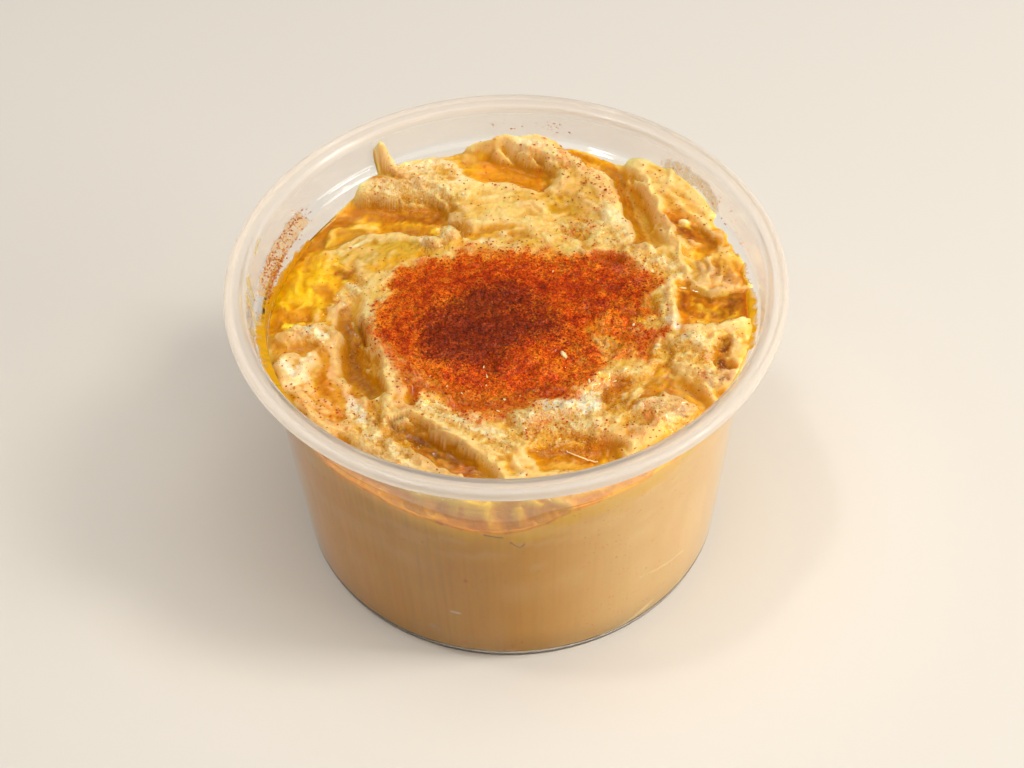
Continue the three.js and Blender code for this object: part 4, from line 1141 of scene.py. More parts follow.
def easeSteepNormals(piece, x, y):
    # the grid is coarse on steep faces, so the shading there follows the map instead
    mesh = piece.data
    normals = np.empty(len(mesh.vertices) * 3)
    mesh.vertices.foreach_get("normal", normals)
    normals = normals.reshape(-1, 3)
    dx, dy = readMap(slopeX, x, y), readMap(slopeY, x, y)
    fromMap = np.stack([-dx, -dy, np.ones(len(x))], 1) / np.sqrt(1 + dx ** 2 + dy ** 2)[:, None]
    share = smooth(0.9, 1.8, np.hypot(dx, dy))[:, None]
    normals[:len(x)] += (fromMap - normals[:len(x)]) * share
    mesh.normals_split_custom_set_from_vertices(normals.tolist())


quads = gridQuads(cells, cells)
rimLoop = edgeLoop(cells)


def paintAt(x, y):
    # what the food's material reads at each point
    tint = tintAt(x, y, readMap(hollowMap, x, y), readMap(oilDepthMap, x, y), readMap(steepMap, x, y))
    wetness = 1 - smooth(0.03, 0.3, tint[:, 2] / tint[:, 0])
    clear = smooth(mapForm["wall"], mapForm["wall"] - 1.4, np.hypot(x, y))  # 0 against the wall
    return {"tint": tint, "dust": dustAt(x, y), "dark": darkAt(x, y), "wet": wetness,
            "relief": 0.06 + clear * (0.14 + 0.8 * readMap(tornMap, x, y))}


paprikaTone = {
    "stain": srgb(246, 160, 48),
    "bright": srgb(226, 103, 14),
    "red": srgb(198, 62, 8),
    "deep": srgb(148, 44, 12),
    "dark": srgb(104, 42, 20),
    "speck": srgb(168, 84, 20),
    "lightSpeck": srgb(204, 124, 34),
}


# the small pits' colour is oil with painted shade, the small crests' colour dry paste with a painted
# highlight
foodTone = {"pit": srgb(240, 202, 104), "crest": srgb(250, 226, 174)}
foodLook = {
    "specular": 0.1,
    "ior": 1.42,
    "coatRoughness": 0.06,
    "coatIor": 1.45,
    "glowRadius": (1.0, 0.5, 0.16),
    "glowScale": 0.0025,
    "grainCell": 0.28,
    # cell, share of the cells with a speck where powder is thin and where thick, speck's radius
    "specks": [(2.3, 0.5, 0.95, 0.12), (0.95, 0.25, 0.8, 0.22)],
}


def creamTone(n, tint, height, relief):
    # oil and painted shade in the small pits, dry paste with a painted highlight on the small crests
    pits = n.share(n.band(n.math("SUBTRACT", 1.0, height), 0.47, 0.62), relief)
    crests = n.share(n.band(height, 0.52, 0.66), relief)
    base = n.mix(pits, tint, n.mix(1.0, tint, foodTone["pit"], "MULTIPLY"))
    return n.mix(n.share(crests, 0.5), base, n.mix(0.55, n.scaled(tint, 1.15), foodTone["crest"]))


def powderedTone(n, base, dust, dark, patch, powder):
    # orange stain, then red powder, then clots and the dark heap as the powder gets thicker
    drift = n.math("SUBTRACT", n.noise(4.5, 3, 0.55), 0.5)
    film = n.sum(dust, (patch, 0.55), (powder, 0.35))
    redness = n.sum(dust, (patch, 1.5), (drift, 1.1), (powder, 1.3))
    clot = n.sum(n.share(dust, 0.5), (drift, 1.4), (patch, 1.6), (powder, 1.1))
    darkness = n.sum(dark, (patch, 0.8), (powder, 1.0))
    stained = n.mix(0.75, paprikaTone["stain"], base, "MULTIPLY")
    red = n.mix(n.band(redness, 0.6, 1.25), paprikaTone["bright"], paprikaTone["red"])
    base = n.mix(n.band(film, 0.12, 0.7), base, stained)
    base = n.mix(n.band(redness, 0.25, 1.0), base, red)
    base = n.mix(n.share(n.band(clot, 0.6, 0.85), 0.7), base, paprikaTone["deep"])
    base = n.mix(n.share(n.band(darkness, 0.2, 0.95), 0.9), base, paprikaTone["deep"])
    return n.mix(n.share(n.band(darkness, 0.65, 1.35), 0.85), base, paprikaTone["dark"])


def speckedTone(n, base, dust, patch):
    # single specks of powder, more of them where the dust is thick
    thickness = n.math("ADD", dust, n.share(patch, 0.6))
    for size, few, many, radius in foodLook["specks"]:
        distance, chance = n.cells(size)
        allowed = n.math("LESS_THAN", chance[0], n.span(thickness, 0, 0.6, few, many))
        wide = n.span(chance[1], 0, 1, radius * 0.45, radius)
        inside = n.band(n.math("DIVIDE", distance, wide), 1.15, 0.6)
        speckTone = n.mix(chance[2], paprikaTone["speck"], paprikaTone["lightSpeck"])
        base = n.mix(n.share(n.share(allowed, inside), 0.7), base, speckTone)
    return base


def foodMaterial(name, powderBump, coat, glow):
    n = Nodes(name)
    tint, dust, dark = n.color("tint"), n.field("dust"), n.field("dark")
    wet, relief = n.field("wet"), n.field("relief")
    patch = n.math("SUBTRACT", n.noise(2.2, 4, 0.6), 0.5)
    powder = n.math("SUBTRACT", n.noise(0.32, 2, 0.7), 0.5)
    grain, fine = n.noise(0.8, 3, 0.6), n.noise(0.38, 2, 0.6)
    base = creamTone(n, tint, n.sum(n.share(grain, 0.6), (fine, 0.4)), relief)
    base = powderedTone(n, base, dust, dark, patch, powder)
    # single grains lighter and darker than the powder round them
    grainShade = n.cells(foodLook["grainCell"])[1]
    grainLight = n.span(grainShade[0], 0, 1, 0.3, 1.65)
    base = n.mix(n.share(n.band(dust, 0.2, 0.8), 0.75), base, n.scaled(base, grainLight))
    base = speckedTone(n, base, dust, patch)
    dryShare = n.share(n.band(dust, 0.3, 0.8), 0.8)
    gloss = n.share(n.math("ADD", wet, n.share(patch, 0.8)), n.math("SUBTRACT", 1.0, dryShare))
    clumped = n.span(dust, 0.1, 0.8, 0.0, 1.0)
    normal = n.bump(grain, 0.5, relief)
    normal = n.bump(fine, 0.28, relief, normal)
    normal = n.bump(grainShade[1], powderBump, clumped, normal)
    normal = n.bump(patch, 2.5 * powderBump, clumped, normal)
    return n.surface(n.add(
        "BsdfPrincipled", Base_Color=base, Roughness=n.span(gloss, 0, 1, 0.42, 0.14), Normal=normal,
        IOR=foodLook["ior"], Specular_IOR_Level=foodLook["specular"],
        Coat_Weight=n.span(relief, 0.08, 0.2, 0.0, coat),  # none against the wall
        Coat_Roughness=foodLook["coatRoughness"], Coat_IOR=foodLook["coatIor"],
        Coat_Normal=n.bump(grain, 0.12, 0.7), Subsurface_Weight=glow,
        Subsurface_Radius=foodLook["glowRadius"], Subsurface_Scale=foodLook["glowScale"]))


oilLook = {
    "absorbs": (0.99, 0.94, 0.35, 1.0),
    "density": 200.0,
    "shadow": srgb(255, 240, 190),
    "roughness": 0.02,
    "ior": 1.38,
}


def oilMaterialOf(name):
    n = Nodes(name)
    shader = n.add("BsdfPrincipled", Base_Color=(1, 1, 1, 1), Roughness=oilLook["roughness"],
                   IOR=oilLook["ior"], Transmission_Weight=1.0)
    inside = n.add("VolumeAbsorption", Color=oilLook["absorbs"], Density=oilLook["density"])
    return n.surface(n.clearToLamps(shader, oilLook["shadow"]), inside)


plasticLook = {
    "clear": (0.985, 0.98, 0.97, 1),
    "milk": srgb(246, 238, 228),
    "shadow": (0.93, 0.925, 0.91, 1),
    "roughness": 0.035,
    "ior": 1.49,
}


def plasticMaterialOf(name):
    # clear where it is thin; the "milk" field makes the thick rim cloudy
    n = Nodes(name)
    clear = n.add("BsdfPrincipled", Base_Color=plasticLook["clear"], Roughness=plasticLook["roughness"],
                  IOR=plasticLook["ior"], Transmission_Weight=1.0)
    cloudy = n.blend(0.5, n.add("BsdfTranslucent", Color=plasticLook["milk"]),
                     n.add("BsdfDiffuse", Color=plasticLook["milk"]))
    return n.surface(n.clearToLamps(n.blend(n.field("milk"), clear, cloudy), plasticLook["shadow"]))


def grainMaterialOf(name):
    n = Nodes(name)
    shade, tone = n.field("shade"), paprikaTone["dark"]
    for low, high, lighter in ((0, 0.3, "deep"), (0.3, 0.6, "red"), (0.65, 0.75, "speck"),
                               (0.8, 1, "lightSpeck")):
        tone = n.mix(n.band(shade, low, high), tone, paprikaTone[lighter])
    return n.surface(n.add("BsdfPrincipled", Base_Color=tone, Roughness=0.7, Specular_IOR_Level=0.15))


def filmMaterialOf(name):
    # a thin smear: some light passes through it, and it fades out at its edge
    n = Nodes(name)
    tint = n.color("tint")
    smear = n.blend(0.4, n.add("BsdfPrincipled", Base_Color=tint, Roughness=0.3),
                    n.add("BsdfTranslucent", Color=tint))
    return n.surface(n.blend(n.field("cover"), n.add("BsdfTransparent"), smear))


hummusMaterial = foodMaterial("hummusPaste", 0.1, 0.6, 0.8)
bitMaterial = foodMaterial("smallBitsOfHummus", 0.1, 0.3, 0.0)  # too thin for light to spread inside
powderMaterial = foodMaterial("paprikaOnHummus", 0.28, 0.12, 0.0)
oilMaterial = oilMaterialOf("oliveOil")
potMaterial = plasticMaterialOf("cloudyPolypropylene")
grainMaterial = grainMaterialOf("paprikaGrain")
smearMaterial = filmMaterialOf("smearOnWall")


# how cloudy each part of the pot is
potMilk = {"bead": 0.62, "rim": 0.34, "lip": 0.14, "wall": 0.008}


def buildPot():
    profile = np.array(potProfile())
    points, faces = latheMesh(profile, potForm["sides"])
    r, z = profile.T
    onRim = smooth(lipInner + 0.2, lipInner + 1.4, r) * smooth(potHeight - 5, potHeight - 4, z)
    onLip = smooth(ledgeZ - 0.5, ledgeZ + 1.5, z)
    milk = potMilk["wall"] + (potMilk["lip"] - potMilk["wall"]) * onLip
    milk = milk + (potMilk["rim"] - milk) * np.maximum(onRim, smooth(potHeight - 1.8, potHeight - 0.8, z))
    milk = milk + (potMilk["bead"] - milk) * onRim * smooth(rimRadius - 2.1, rimRadius - 1.7, r)
    perPoint = np.concatenate([np.repeat(milk, potForm["sides"]), [potMilk["wall"]] * 2])
    piece = meshPiece("potShell", points, faces, potMaterial, "cup", {"milk": perPoint})
    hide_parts("cup")
    print("pot built:", len(faces), "faces")


sideForm = {
    # how far down each ring of the side lies, from the surface to the bottom
    "shares": (0.02, 0.05, 0.08, 0.11, 0.14, 0.17, 0.2, 0.23, 0.26, 0.29, 0.35, 0.45, 0.6, 0.8, 0.955,
               0.985, 1.0),
    "bottom": 0.7,
    "stainDepth": 3.0,
    # azimuth in degrees and the height down to which oil has soaked the side
    "stainLine": [(-180, 60), (-146, 53.5), (-137, 51.5), (-125, 51.2), (-109, 50.2), (-97, 48.4),
                  (-88.4, 45), (-84, 47.2), (-74, 50.4), (-60, 51.6), (-47, 54), (-30, 56), (0, 58),
                  (90, 58), (180, 60)],
}


def sidePaint(depth, angle, z):
    # the body seen through the wall: tan, paler at the right and a little brighter at the far
    # left, with oil stain fading down from the surface
    form = sideForm
    turn = -np.abs(angle)  # the far half mirrors the near one, so that the paint has no seam
    tint = toward(np.tile(toneOf("wall"), (len(angle), 1)), "paleWall", 0.66 * smooth(-1.6, -1.0, turn))
    tint *= (1 + 0.22 * smooth(-1.9, -2.6, turn))[:, None]
    streaky = noise(turn * 9, z / 2.6, 81)
    line = np.interp(np.degrees(angle), *np.transpose(form["stainLine"]))
    soaked = smooth(-0.5, 0.9, z - (line + 1.6 * (noise(turn * 14, z / 3, 84) - 0.5)))
    faded = np.exp(-depth / (form["stainDepth"] * (0.3 + 1.4 * streaky)))
    stain = np.maximum(faded, (0.62 + 0.5 * (streaky - 0.5)) * soaked)
    tint = toward(tint, "yellow", 0.95 * stain)
    tint *= (0.93 + 0.14 * noise(turn * 150, z / 16, 83) * smooth(-0.6, -2.2, turn))[:, None]
    tint = toward(tint, "pale", 0.12 * smooth(0.55, 0.8, noise(turn * 6, z / 1.6, 82)))
    zero = np.zeros(len(angle))
    return {"tint": tint, "dust": zero, "dark": zero, "wet": 0.3 * stain, "relief": zero + 0.06}


def buildHummus():
    top = np.stack([gridX, gridY, gridZ], 1)
    loop = top[rimLoop]
    angle = np.arctan2(loop[:, 1], loop[:, 0])
    layers = [(top, paintAt(gridX, gridY))]
    faces = quads.tolist()
    count = len(rimLoop)
    above, total = rimLoop, len(top)
    for share in sideForm["shares"]:
        z = loop[:, 2] + (sideForm["bottom"] - loop[:, 2]) * share
        radius = potInsideRadius(z) + gridForm["intoWall"]
        ring = np.stack([radius * np.cos(angle), radius * np.sin(angle), z], 1)
        layers.append((ring, sidePaint(loop[:, 2] - z, angle, z)))
        below = np.arange(count) + total
        faces += [(above[i], below[i], below[(i + 1) % count], above[(i + 1) % count])
                  for i in range(count)]
        above, total = below, total + count
    middle = np.array([[0, 0, sideForm["bottom"]]])
    layers.append((middle, sidePaint(np.full(1, 60.0), np.zeros(1), np.zeros(1))))
    faces += [(total, above[(i + 1) % count], above[i]) for i in range(count)]
    fields = {key: np.concatenate([paint[key] for points, paint in layers]) for key in layers[0][1]}
    points = np.vstack([points for points, paint in layers])
    piece = meshPiece("hummusFill", points, faces, hummusMaterial, "hummus", fields)
    easeSteepNormals(piece, gridX, gridY)
    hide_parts("hummus")
    print("hummus built:", len(faces), "faces")


# how far the oil reaches into the hummus, and how it climbs at its edge
oilForm = {"tuckedIn": 0.5, "climb": 0.35, "climbReach": 0.5}


def openEdges(faceRows):
    # the edges of quads that only one quad has, in that quad's direction
    edges = {}
    for quad in faceRows.tolist():
        for a, b in zip(quad, quad[1:] + quad[:1]):
            if (b, a) in edges:
                del edges[(b, a)]
            else:
                edges[(a, b)] = True
    return list(edges)


def buildPool(pool):
    level = pool["level"]
    size = cells + 1
    start = int(np.argmin(np.hypot(gridX - pool["seed"][0], gridY - pool["seed"][1])))
    wet = flooded((level - gridZ > 0.02).reshape(size, size), *divmod(start, size))
    used, kept = keptQuads(spread(spread(wet)))
    x, y, z = gridX[used], gridY[used], gridZ[used]
    top = level + oilForm["climb"] * np.exp(-np.maximum(level - z, 0) / oilForm["climbReach"])
    low = np.minimum(z - oilForm["tuckedIn"], level - 0.3)
    points = np.vstack([np.stack([x, y, top], 1), np.stack([x, y, low], 1)])
    count = len(used)
    faces = kept.tolist() + (kept[:, ::-1] + count).tolist()
    faces += [(b, a, a + count, b + count) for a, b in openEdges(kept)]
    piece = meshPiece(pool["name"] + "_pool", points, faces, oilMaterial, "oil")
    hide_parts(pool["name"])
    print(pool["name"], "built:", len(faces), "faces")


# thickness of the paprika at its edge and in the heap
paprikaForm = {"step": 0.26, "edge": 0.05, "core": 1.0, "centre": (-6, -3), "coreRadius": 15,
               "lump": 0.42, "lumpSize": 1.3, "clod": 0.34, "clodSize": 0.6, "past": 0.8}


def paprikaThickness(x, y):
    # dips under the food at its ragged edge, so that no rim shows there
    form = paprikaForm
    wide, small = form["lumpSize"], form["clodSize"]
    away = np.hypot(x - form["centre"][0], y - form["centre"][1]) / form["coreRadius"]
    heap = 1 - smooth(0.5, 1.6, away)
    thick = form["edge"] + (form["core"] - form["edge"]) * heap
    lumpy = form["lump"] * (noise(x / wide, y / wide, 41) - 0.5)
    lumpy = lumpy + form["clod"] * (noise(x / small, y / small, 42) - 0.5)
    inside = insideOutline(paprikaOutline, x, y) + 1.6 * (noise(x / wide, y / wide, 43) - 0.5)
    return (thick + lumpy * (0.4 + 0.6 * heap)) * smooth(0, 3.5, inside) - 0.3 * smooth(1.2, -0.6, inside)


def buildPaprikaLayer():
    step = paprikaForm["step"] * 1
    low, high = np.min(paprikaOutline, 0) - 1, np.max(paprikaOutline, 0) + 1
    across, along = int((high[0] - low[0]) / step), int((high[1] - low[1]) / step)
    x2d, y2d = np.meshgrid(low[0] + step * np.arange(across + 1), low[1] + step * np.arange(along + 1))
    x, y = x2d.ravel(), y2d.ravel()
    z = fineHeight(x, y) + paprikaThickness(x, y)
    used, kept = keptQuads((insideOutline(paprikaOutline, x, y) > -paprikaForm["past"]).reshape(x2d.shape))
    points = np.stack([x, y, z], 1)[used]
    fields = {key: value[used] for key, value in paintAt(x, y).items()}
    piece = meshPiece("paprikaDusting", points, kept, powderMaterial, "paprika", fields)
    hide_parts("paprika")
    print("paprika built:", len(kept), "faces")


grainForm = {"count": 10000, "small": 0.09, "large": 0.36, "stray": 0.045, "seed": 4, "lowest": 56.5,
             "within": 51, "triesEach": 14}
# x, y, size and shade of the largest grains, most of them on the swell at the back
bigGrains = np.array([
    (4.2, 47.5, 0.4, 0.7), (10.5, 43.6, 0.35, 0.7), (17.5, 41, 0.3, 0.75), (14.5, 38, 0.35, 0.7),
    (18.5, 38.3, 0.3, 0.7), (20.8, 36.8, 0.35, 0.75), (22.6, 33, 0.5, 0.3), (22, 31.5, 0.3, 0.5),
    (13, 34, 0.3, 0.75), (3.3, 33.3, 0.35, 0.7), (-42.6, 3, 0.3, 0.7), (-37, 15.6, 0.3, 0.7),
    (-46.4, -9.6, 0.4, 0.7), (-29, -27, 0.3, 0.7), (26.6, 24, 0.3, 0.7), (9, 36, 0.3, 0.75)])


def grainMesh(centres, sizes, shades, rng):
    # an uneven octahedron at each place
    corners = np.array([(1, 0, 0), (0, 1, 0), (-1, 0, 0), (0, -1, 0), (0, 0, 1), (0, 0, -1)], float)
    triangles = np.array([(0, 1, 4), (1, 2, 4), (2, 3, 4), (3, 0, 4), (1, 0, 5), (2, 1, 5), (3, 2, 5),
                          (0, 3, 5)])
    count = len(centres)
    turn = rng.random(count) * 2 * math.pi
    shape = corners[None] * (0.6 + 0.8 * rng.random((count, 6, 1))) * np.array([1, 0.75, 0.5])
    x = shape[..., 0] * np.cos(turn)[:, None] - shape[..., 1] * np.sin(turn)[:, None]
    y = shape[..., 0] * np.sin(turn)[:, None] + shape[..., 1] * np.cos(turn)[:, None]
    points = np.stack([x, y, shape[..., 2]], -1) * sizes[:, None, None] + centres[:, None]
    faces = triangles[None] + 6 * np.arange(count)[:, None, None]
    return points.reshape(-1, 3), faces.reshape(-1, 3), np.repeat(shades, 6)


def foodTop(x, y):
    # the height that a grain comes to rest on: hummus, paprika or oil
    z = fineHeight(x, y) + np.maximum(0, paprikaThickness(x, y))
    cell = [np.clip(((value + mapForm["half"]) / mapForm["step"]).round().astype(int), 0, mapCount - 1)
            for value in (y, x)]
    return np.maximum(z, liquidMap[tuple(cell)])


def buildGrains():
    rng = np.random.default_rng(grainForm["seed"])
    wanted = grainForm["count"] // 1
    x = (rng.random(wanted * grainForm["triesEach"]) * 2 - 1) * grainForm["within"]
    y = (rng.random(wanted * grainForm["triesEach"]) * 2 - 1) * grainForm["within"]
    ground = readMap(mapZ, x, y)
    inside = (np.hypot(x, y) < potInsideRadius(ground) - 0.4) & (ground > grainForm["lowest"])
    x, y = x[inside], y[inside]
    clumps = 0.6 + 0.8 * noise(x / 1.8, y / 1.8, 91)
    chance = (grainForm["stray"] + dustAt(x, y) ** 1.3) * clumps
    taken = np.nonzero(rng.random(len(x)) < chance)[0][:wanted]
    x, y = x[taken], y[taken]
    inPowder = dustAt(x, y) > 0.35
    larger = rng.random(len(x)) ** np.where(inPowder, 2.5, 1.3)
    sizes = grainForm["small"] + (grainForm["large"] - grainForm["small"]) * larger
    thickest = smooth(0.1, 0.7, darkAt(x, y))
    powderShade = 0.34 * (1 - thickest) + 0.36 * rng.random(len(x)) ** (1 + thickest)
    shades = np.where(inPowder, powderShade, 1 - 0.4 * rng.random(len(x)) ** 2)
    x, y = np.append(x, bigGrains[:, 0]), np.append(y, bigGrains[:, 1])
    sizes, shades = np.append(sizes, bigGrains[:, 2]), np.append(shades, bigGrains[:, 3])
    z = foodTop(x, y) + 0.25 * sizes
    points, faces, shade = grainMesh(np.stack([x, y, z], 1), sizes, shades, rng)
    meshPiece("paprikaGrains", points, faces, grainMaterial, "paprika", {"shade": shade}, smoothShade=False)
    print("loose grains:", len(x))


# what clings to the wall: tone, reach, how far it stands off, cover, then azimuth in degrees
# and height in millimetres along its path
wallScale = math.radians(1) * 52.0
smears = [
    ("smear", 1.3, 0.3, 1, (178, 66), (177.5, 69.6)),
    ("smear", 1.4, 0.35, 1, (184.5, 63.8), (182.5, 66.6), (183, 69)),
    ("smear", 1.1, 0.25, 1, (188, 64.2), (191, 66.4)),
    ("smear", 0.9, 0.2, 1, (165.6, 70), (168.4, 69.6)),
    ("arc", 2.1, 0.05, 0.6, (46, 65.6), (40, 66.5), (34, 66.2), (29.6, 64.6)),
    ("film", 2, 0.03, 0.66, (174, 61.8), (160, 62.8), (149, 63.6)),
    ("contact", 2.3, 0.14, 1.4, (150, 56.4), (158, 57), (166, 57.6), (172, 58.8), (178, 60.4), (185, 61.4),
     (191, 61.6), (200, 61.6), (215, 61.4)),
    ("contact", 1.8, 0.12, 1.3, (14, 61), (4, 61.4), (-6, 61.6), (-16, 62)),
    ("pale", 0.35, 0.2, 1, (144, 57), (137, 57.2), (131, 57)),
    ("yellow", 0.5, 0.25, 1, (108, 60), (100, 61), (93, 61.6)),
]
# the same, standing off by 0: painted on the body behind the wall
bodyMarks = [
    # painted shade: the dark V of a fold in the hummus against the wall
    ("crease", 0.32, 0, 1, (-96.4, 48.4), (-94, 47.8), (-92.4, 47.6)),
    ("crease", 0.26, 0, 1, (-90.6, 45.8), (-88.6, 44), (-87.4, 45)),
    ("paleWall", 0.5, 0, 1, (-56, 19.4), (-48, 17.6), (-40, 16.2)),
    ("paleWall", 0.7, 0, 1, (-66.7, 2.6), (-58, 3.6), (-50.5, 5.8)),
    ("paleWall", 0.5, 0, 1, (-106.2, 17.4), (-104.2, 17.1)),
    ("tan", 0.9, 0, 1, (-112.2, 9.4), (-111, 8.6)),
    ("crease", 0.3, 0, 1, (-93.2, 3.7), (-93, 3.6)),
    ("crease", 0.25, 0, 1, (-88.6, 6.9), (-88.4, 6.8)),
]
# powder on the wall: how far to each side it spreads, how many grains, then its path
wallDust = [
    (0.8, 620, (174, 62), (166, 62.4), (160, 62.8), (147, 63.6)),
    (0.6, 34, (75, 65.8), (84, 66), (93, 66.6)),
    (1.1, 40, (30, 66), (38, 67), (47, 66)),
    (1.6, 30, (10, 63), (18, 65.6), (27, 66)),
    (1.2, 14, (176, 64), (186, 65)),
]


def wallPoints(across, z, off):
    angle = np.radians(across / wallScale)
    radius = potInsideRadius(z) - off
    return np.stack([radius * np.cos(angle), radius * np.sin(angle), z], 1)


def wallSheet(tone, reach, thick, most, path, seed):
    # a ragged patch that follows the wall: its points, faces, colour and cover
    path = [(azimuth * wallScale, z, 1) for azimuth, z in path]
    low, high = np.min(path, 0)[:2] - 1.3 * reach, np.max(path, 0)[:2] + 1.3 * reach
    step = min(0.22, reach / 3)
    across, up = np.meshgrid(np.arange(low[0], high[0], step), np.arange(low[1], high[1], step))
    shape, across, up = across.shape, across.ravel(), up.ravel()
    picked, distance, side, last, along = nearPath(path, across, up, 1.6 * reach)
    away = np.full(across.shape, 9.0)
    away[picked] = distance / reach
    ragged = 0.5 * (noise(across / 1.6, up / 1.6, seed) - 0.5)
    ragged = ragged + 0.2 * (noise(across / 0.5, up / 0.5, seed + 1) - 0.5)
    body = 1 - np.maximum(0, away + ragged) ** 2
    used, faces = keptQuads((body > 0).reshape(shape))
    lumpy = 0.6 + 0.8 * noise(across / 0.9, up / 0.9, seed + 2)
    off = 0.02 + thick * np.sqrt(np.clip(body, 0, 1)) * lumpy if thick \
        else np.full(across.shape, -gridForm["intoWall"] - 0.05)
    points = wallPoints(across, up, off)[used]
    across, up, body = across[used], up[used], body[used]
    color = toneOf(tone) * (0.92 + 0.16 * noise(across / 0.6, up / 0.6, seed + 3))[:, None]
    cover = smooth(0, 0.7, body) * (0.5 + 0.5 * noise(across / 0.7, up / 0.7, seed + 4))
    return points, faces, color, np.minimum(1, most * cover)


def foodFields(tint, wet, relief):
    none = np.zeros(len(tint))
    return {"tint": tint, "dust": none, "dark": none, "wet": none + wet, "relief": none + relief}


def buildSheets(name, patches, material):
    sheets = [wallSheet(*patch[:4], patch[4:], 101 + 5 * k) for k, patch in enumerate(patches)]
    points, faces = joined([sheet[:2] for sheet in sheets])
    fields = foodFields(np.vstack([color for *rest, color, cover in sheets]), 0.4, 0.3)
    fields["cover"] = np.concatenate([cover for *rest, cover in sheets])
    meshPiece(name, points, faces, material, "hummus", fields)
    print(name, "built:", len(faces), "faces")


def buildWallDust():
    rng = np.random.default_rng(grainForm["seed"] + 1)
    places = []
    for wide, count, *path in wallDust:
        curve = curvePoints(path, 24)
        chosen = curve[rng.integers(0, len(curve), count)]
        scatter = rng.normal(0, wide, (count, 2)) + rng.random((count, 1)) - 0.5
        across = chosen[:, 0] * wallScale + scatter[:, 0] * 1.4
        places.append(wallPoints(across, chosen[:, 1] + scatter[:, 1], 0.12))
    centres = np.vstack(places)
    sizes = grainForm["small"] + (grainForm["large"] - grainForm["small"]) * rng.random(len(centres)) ** 2
    shades = 1 - 0.35 * rng.random(len(centres)) ** 2
    points, faces, shade = grainMesh(centres, sizes, shades, rng)
    meshPiece("paprikaOnWall", points, faces, grainMaterial, "paprika", {"shade": shade}, smoothShade=False)
    print("grains on the wall:", len(centres))


# place, turn in degrees, length and width of the pale bits on the food: the first is a white fleck, most of
# the rest are painted glints that stand for wet highlights
paleBitsAndGlints = [(11.5, -13.5, 115, 1.1, 0.5), (26.5, -6, 60, 0.5, 0.3), (34.5, -7, 20, 0.5, 0.35),
            (16.5, -21, 95, 0.6, 0.25), (24, -18.5, 30, 0.7, 0.25), (37.5, 4, 170, 0.8, 0.25),
            (-9, 36, 40, 0.5, 0.35), (-1, -24, 80, 0.3, 0.2), (31, -12.6, 0, 0.6, 0.4),
            (-5, -15.8, 75, 0.5, 0.14), (-4.4, -18.2, 95, 0.6, 0.15), (-4.6, -20.5, 80, 0.4, 0.15),
            (-2.3, -27.4, 150, 0.5, 0.16), (21.8, -20.1, 20, 0.7, 0.14), (26.4, -24.7, 40, 0.6, 0.15),
            (10.2, 11, 80, 0.4, 0.14), (-12.6, -20.6, 60, 0.35, 0.13), (-9.6, -22.2, 120, 0.35, 0.13),
            (2.3, -23.2, 80, 0.3, 0.13), (-0.8, -24.1, 45, 0.35, 0.13), (-16.1, -17.1, 30, 0.3, 0.12)]
strand = {"path": [(11.2, -36.2), (13, -37.8), (15.4, -38.8), (17.4, -39)], "radius": 0.15,
          "sides": 6, "arch": 0.7}
crumbForm = {"count": 1500, "small": 0.1, "large": 0.3, "within": 48, "seed": 9}
dropForm = {"count": 80, "small": 0.25, "large": 0.75, "height": 0.3, "seed": 12}
dropPaths = [[(-14, -13), (-4, -19), (6, -20), (16, -16), (25, -11)], [(20, -4), (27, -6), (33, -2)],
             [(-19, -22), (-15, -25)], [(14, -22), (22, -20)]]


def ball(length, width, height, turn, bumps, rng):
    # a low uneven ellipsoid of 8 by 5 rings
    angle = np.linspace(0, 2 * math.pi, 8, endpoint=False)
    points = [(0, 0, -1)]
    for lift in (-0.6, -0.1, 0.4, 0.8):
        ring = math.sqrt(1 - lift * lift)
        points += [(ring * math.cos(a), ring * math.sin(a), lift) for a in angle]
    points = np.array(points + [(0, 0, 1)]) * (1 + bumps * (rng.random((len(points) + 1, 1)) - 0.5))
    points *= np.array([length, width, height])
    c, s = math.cos(turn), math.sin(turn)
    points = points @ np.array([[c, s, 0], [-s, c, 0], [0, 0, 1]])
    faces = [(0, 1 + (k + 1) % 8, 1 + k) for k in range(8)] + halved(ringQuads(4, 8, 1))
    last = len(points) - 1
    faces += [(last, last - 8 + k, last - 8 + (k + 1) % 8) for k in range(8)]
    return points, faces


def ballAt(x, y, lift, *shape):
    # a ball resting on the food, raised by lift
    z = foodTop(np.array([x]), np.array([y]))[0]
    points, faces = ball(*shape)
    return points + np.array([x, y, z + lift]), faces


def strandMesh():
    # a thin tube that arches over the food
    curve = curvePoints(strand["path"], 8)
    radius = strand["radius"]
    arch = strand["arch"] * np.sin(np.linspace(0, math.pi, len(curve)))
    centre = np.column_stack([curve, foodTop(curve[:, 0], curve[:, 1]) + arch + 0.5 * radius])
    heading = np.gradient(centre, axis=0)
    heading /= np.linalg.norm(heading, axis=1)[:, None]
    sideways = np.cross(heading, [0, 0, 1.0])
    upward = np.cross(sideways, heading)
    turn = np.linspace(0, 2 * math.pi, strand["sides"], endpoint=False)
    tube = (centre[:, None] + radius * (np.cos(turn)[None, :, None] * sideways[:, None]
                                        + np.sin(turn)[None, :, None] * upward[:, None])).reshape(-1, 3)
    return tube, halved(ringQuads(len(curve), strand["sides"]))


def buildBits():
    rng = np.random.default_rng(crumbForm["seed"])
    bits = [ballAt(x, y, 0.3 * width, length, width, width, math.radians(turn), 0.4, rng)
            for x, y, turn, length, width in paleBitsAndGlints]
    points, faces = joined(bits + [strandMesh()])
    tint = np.tile(toneOf("pale"), (len(points), 1))
    # pale bits, most of them painted glints
    meshPiece("paleBitsAndGlints", points, faces, bitMaterial, "hummus", foodFields(tint, 0.5, 0.4))
    print("pale bits:", len(paleBitsAndGlints), "and a strand")


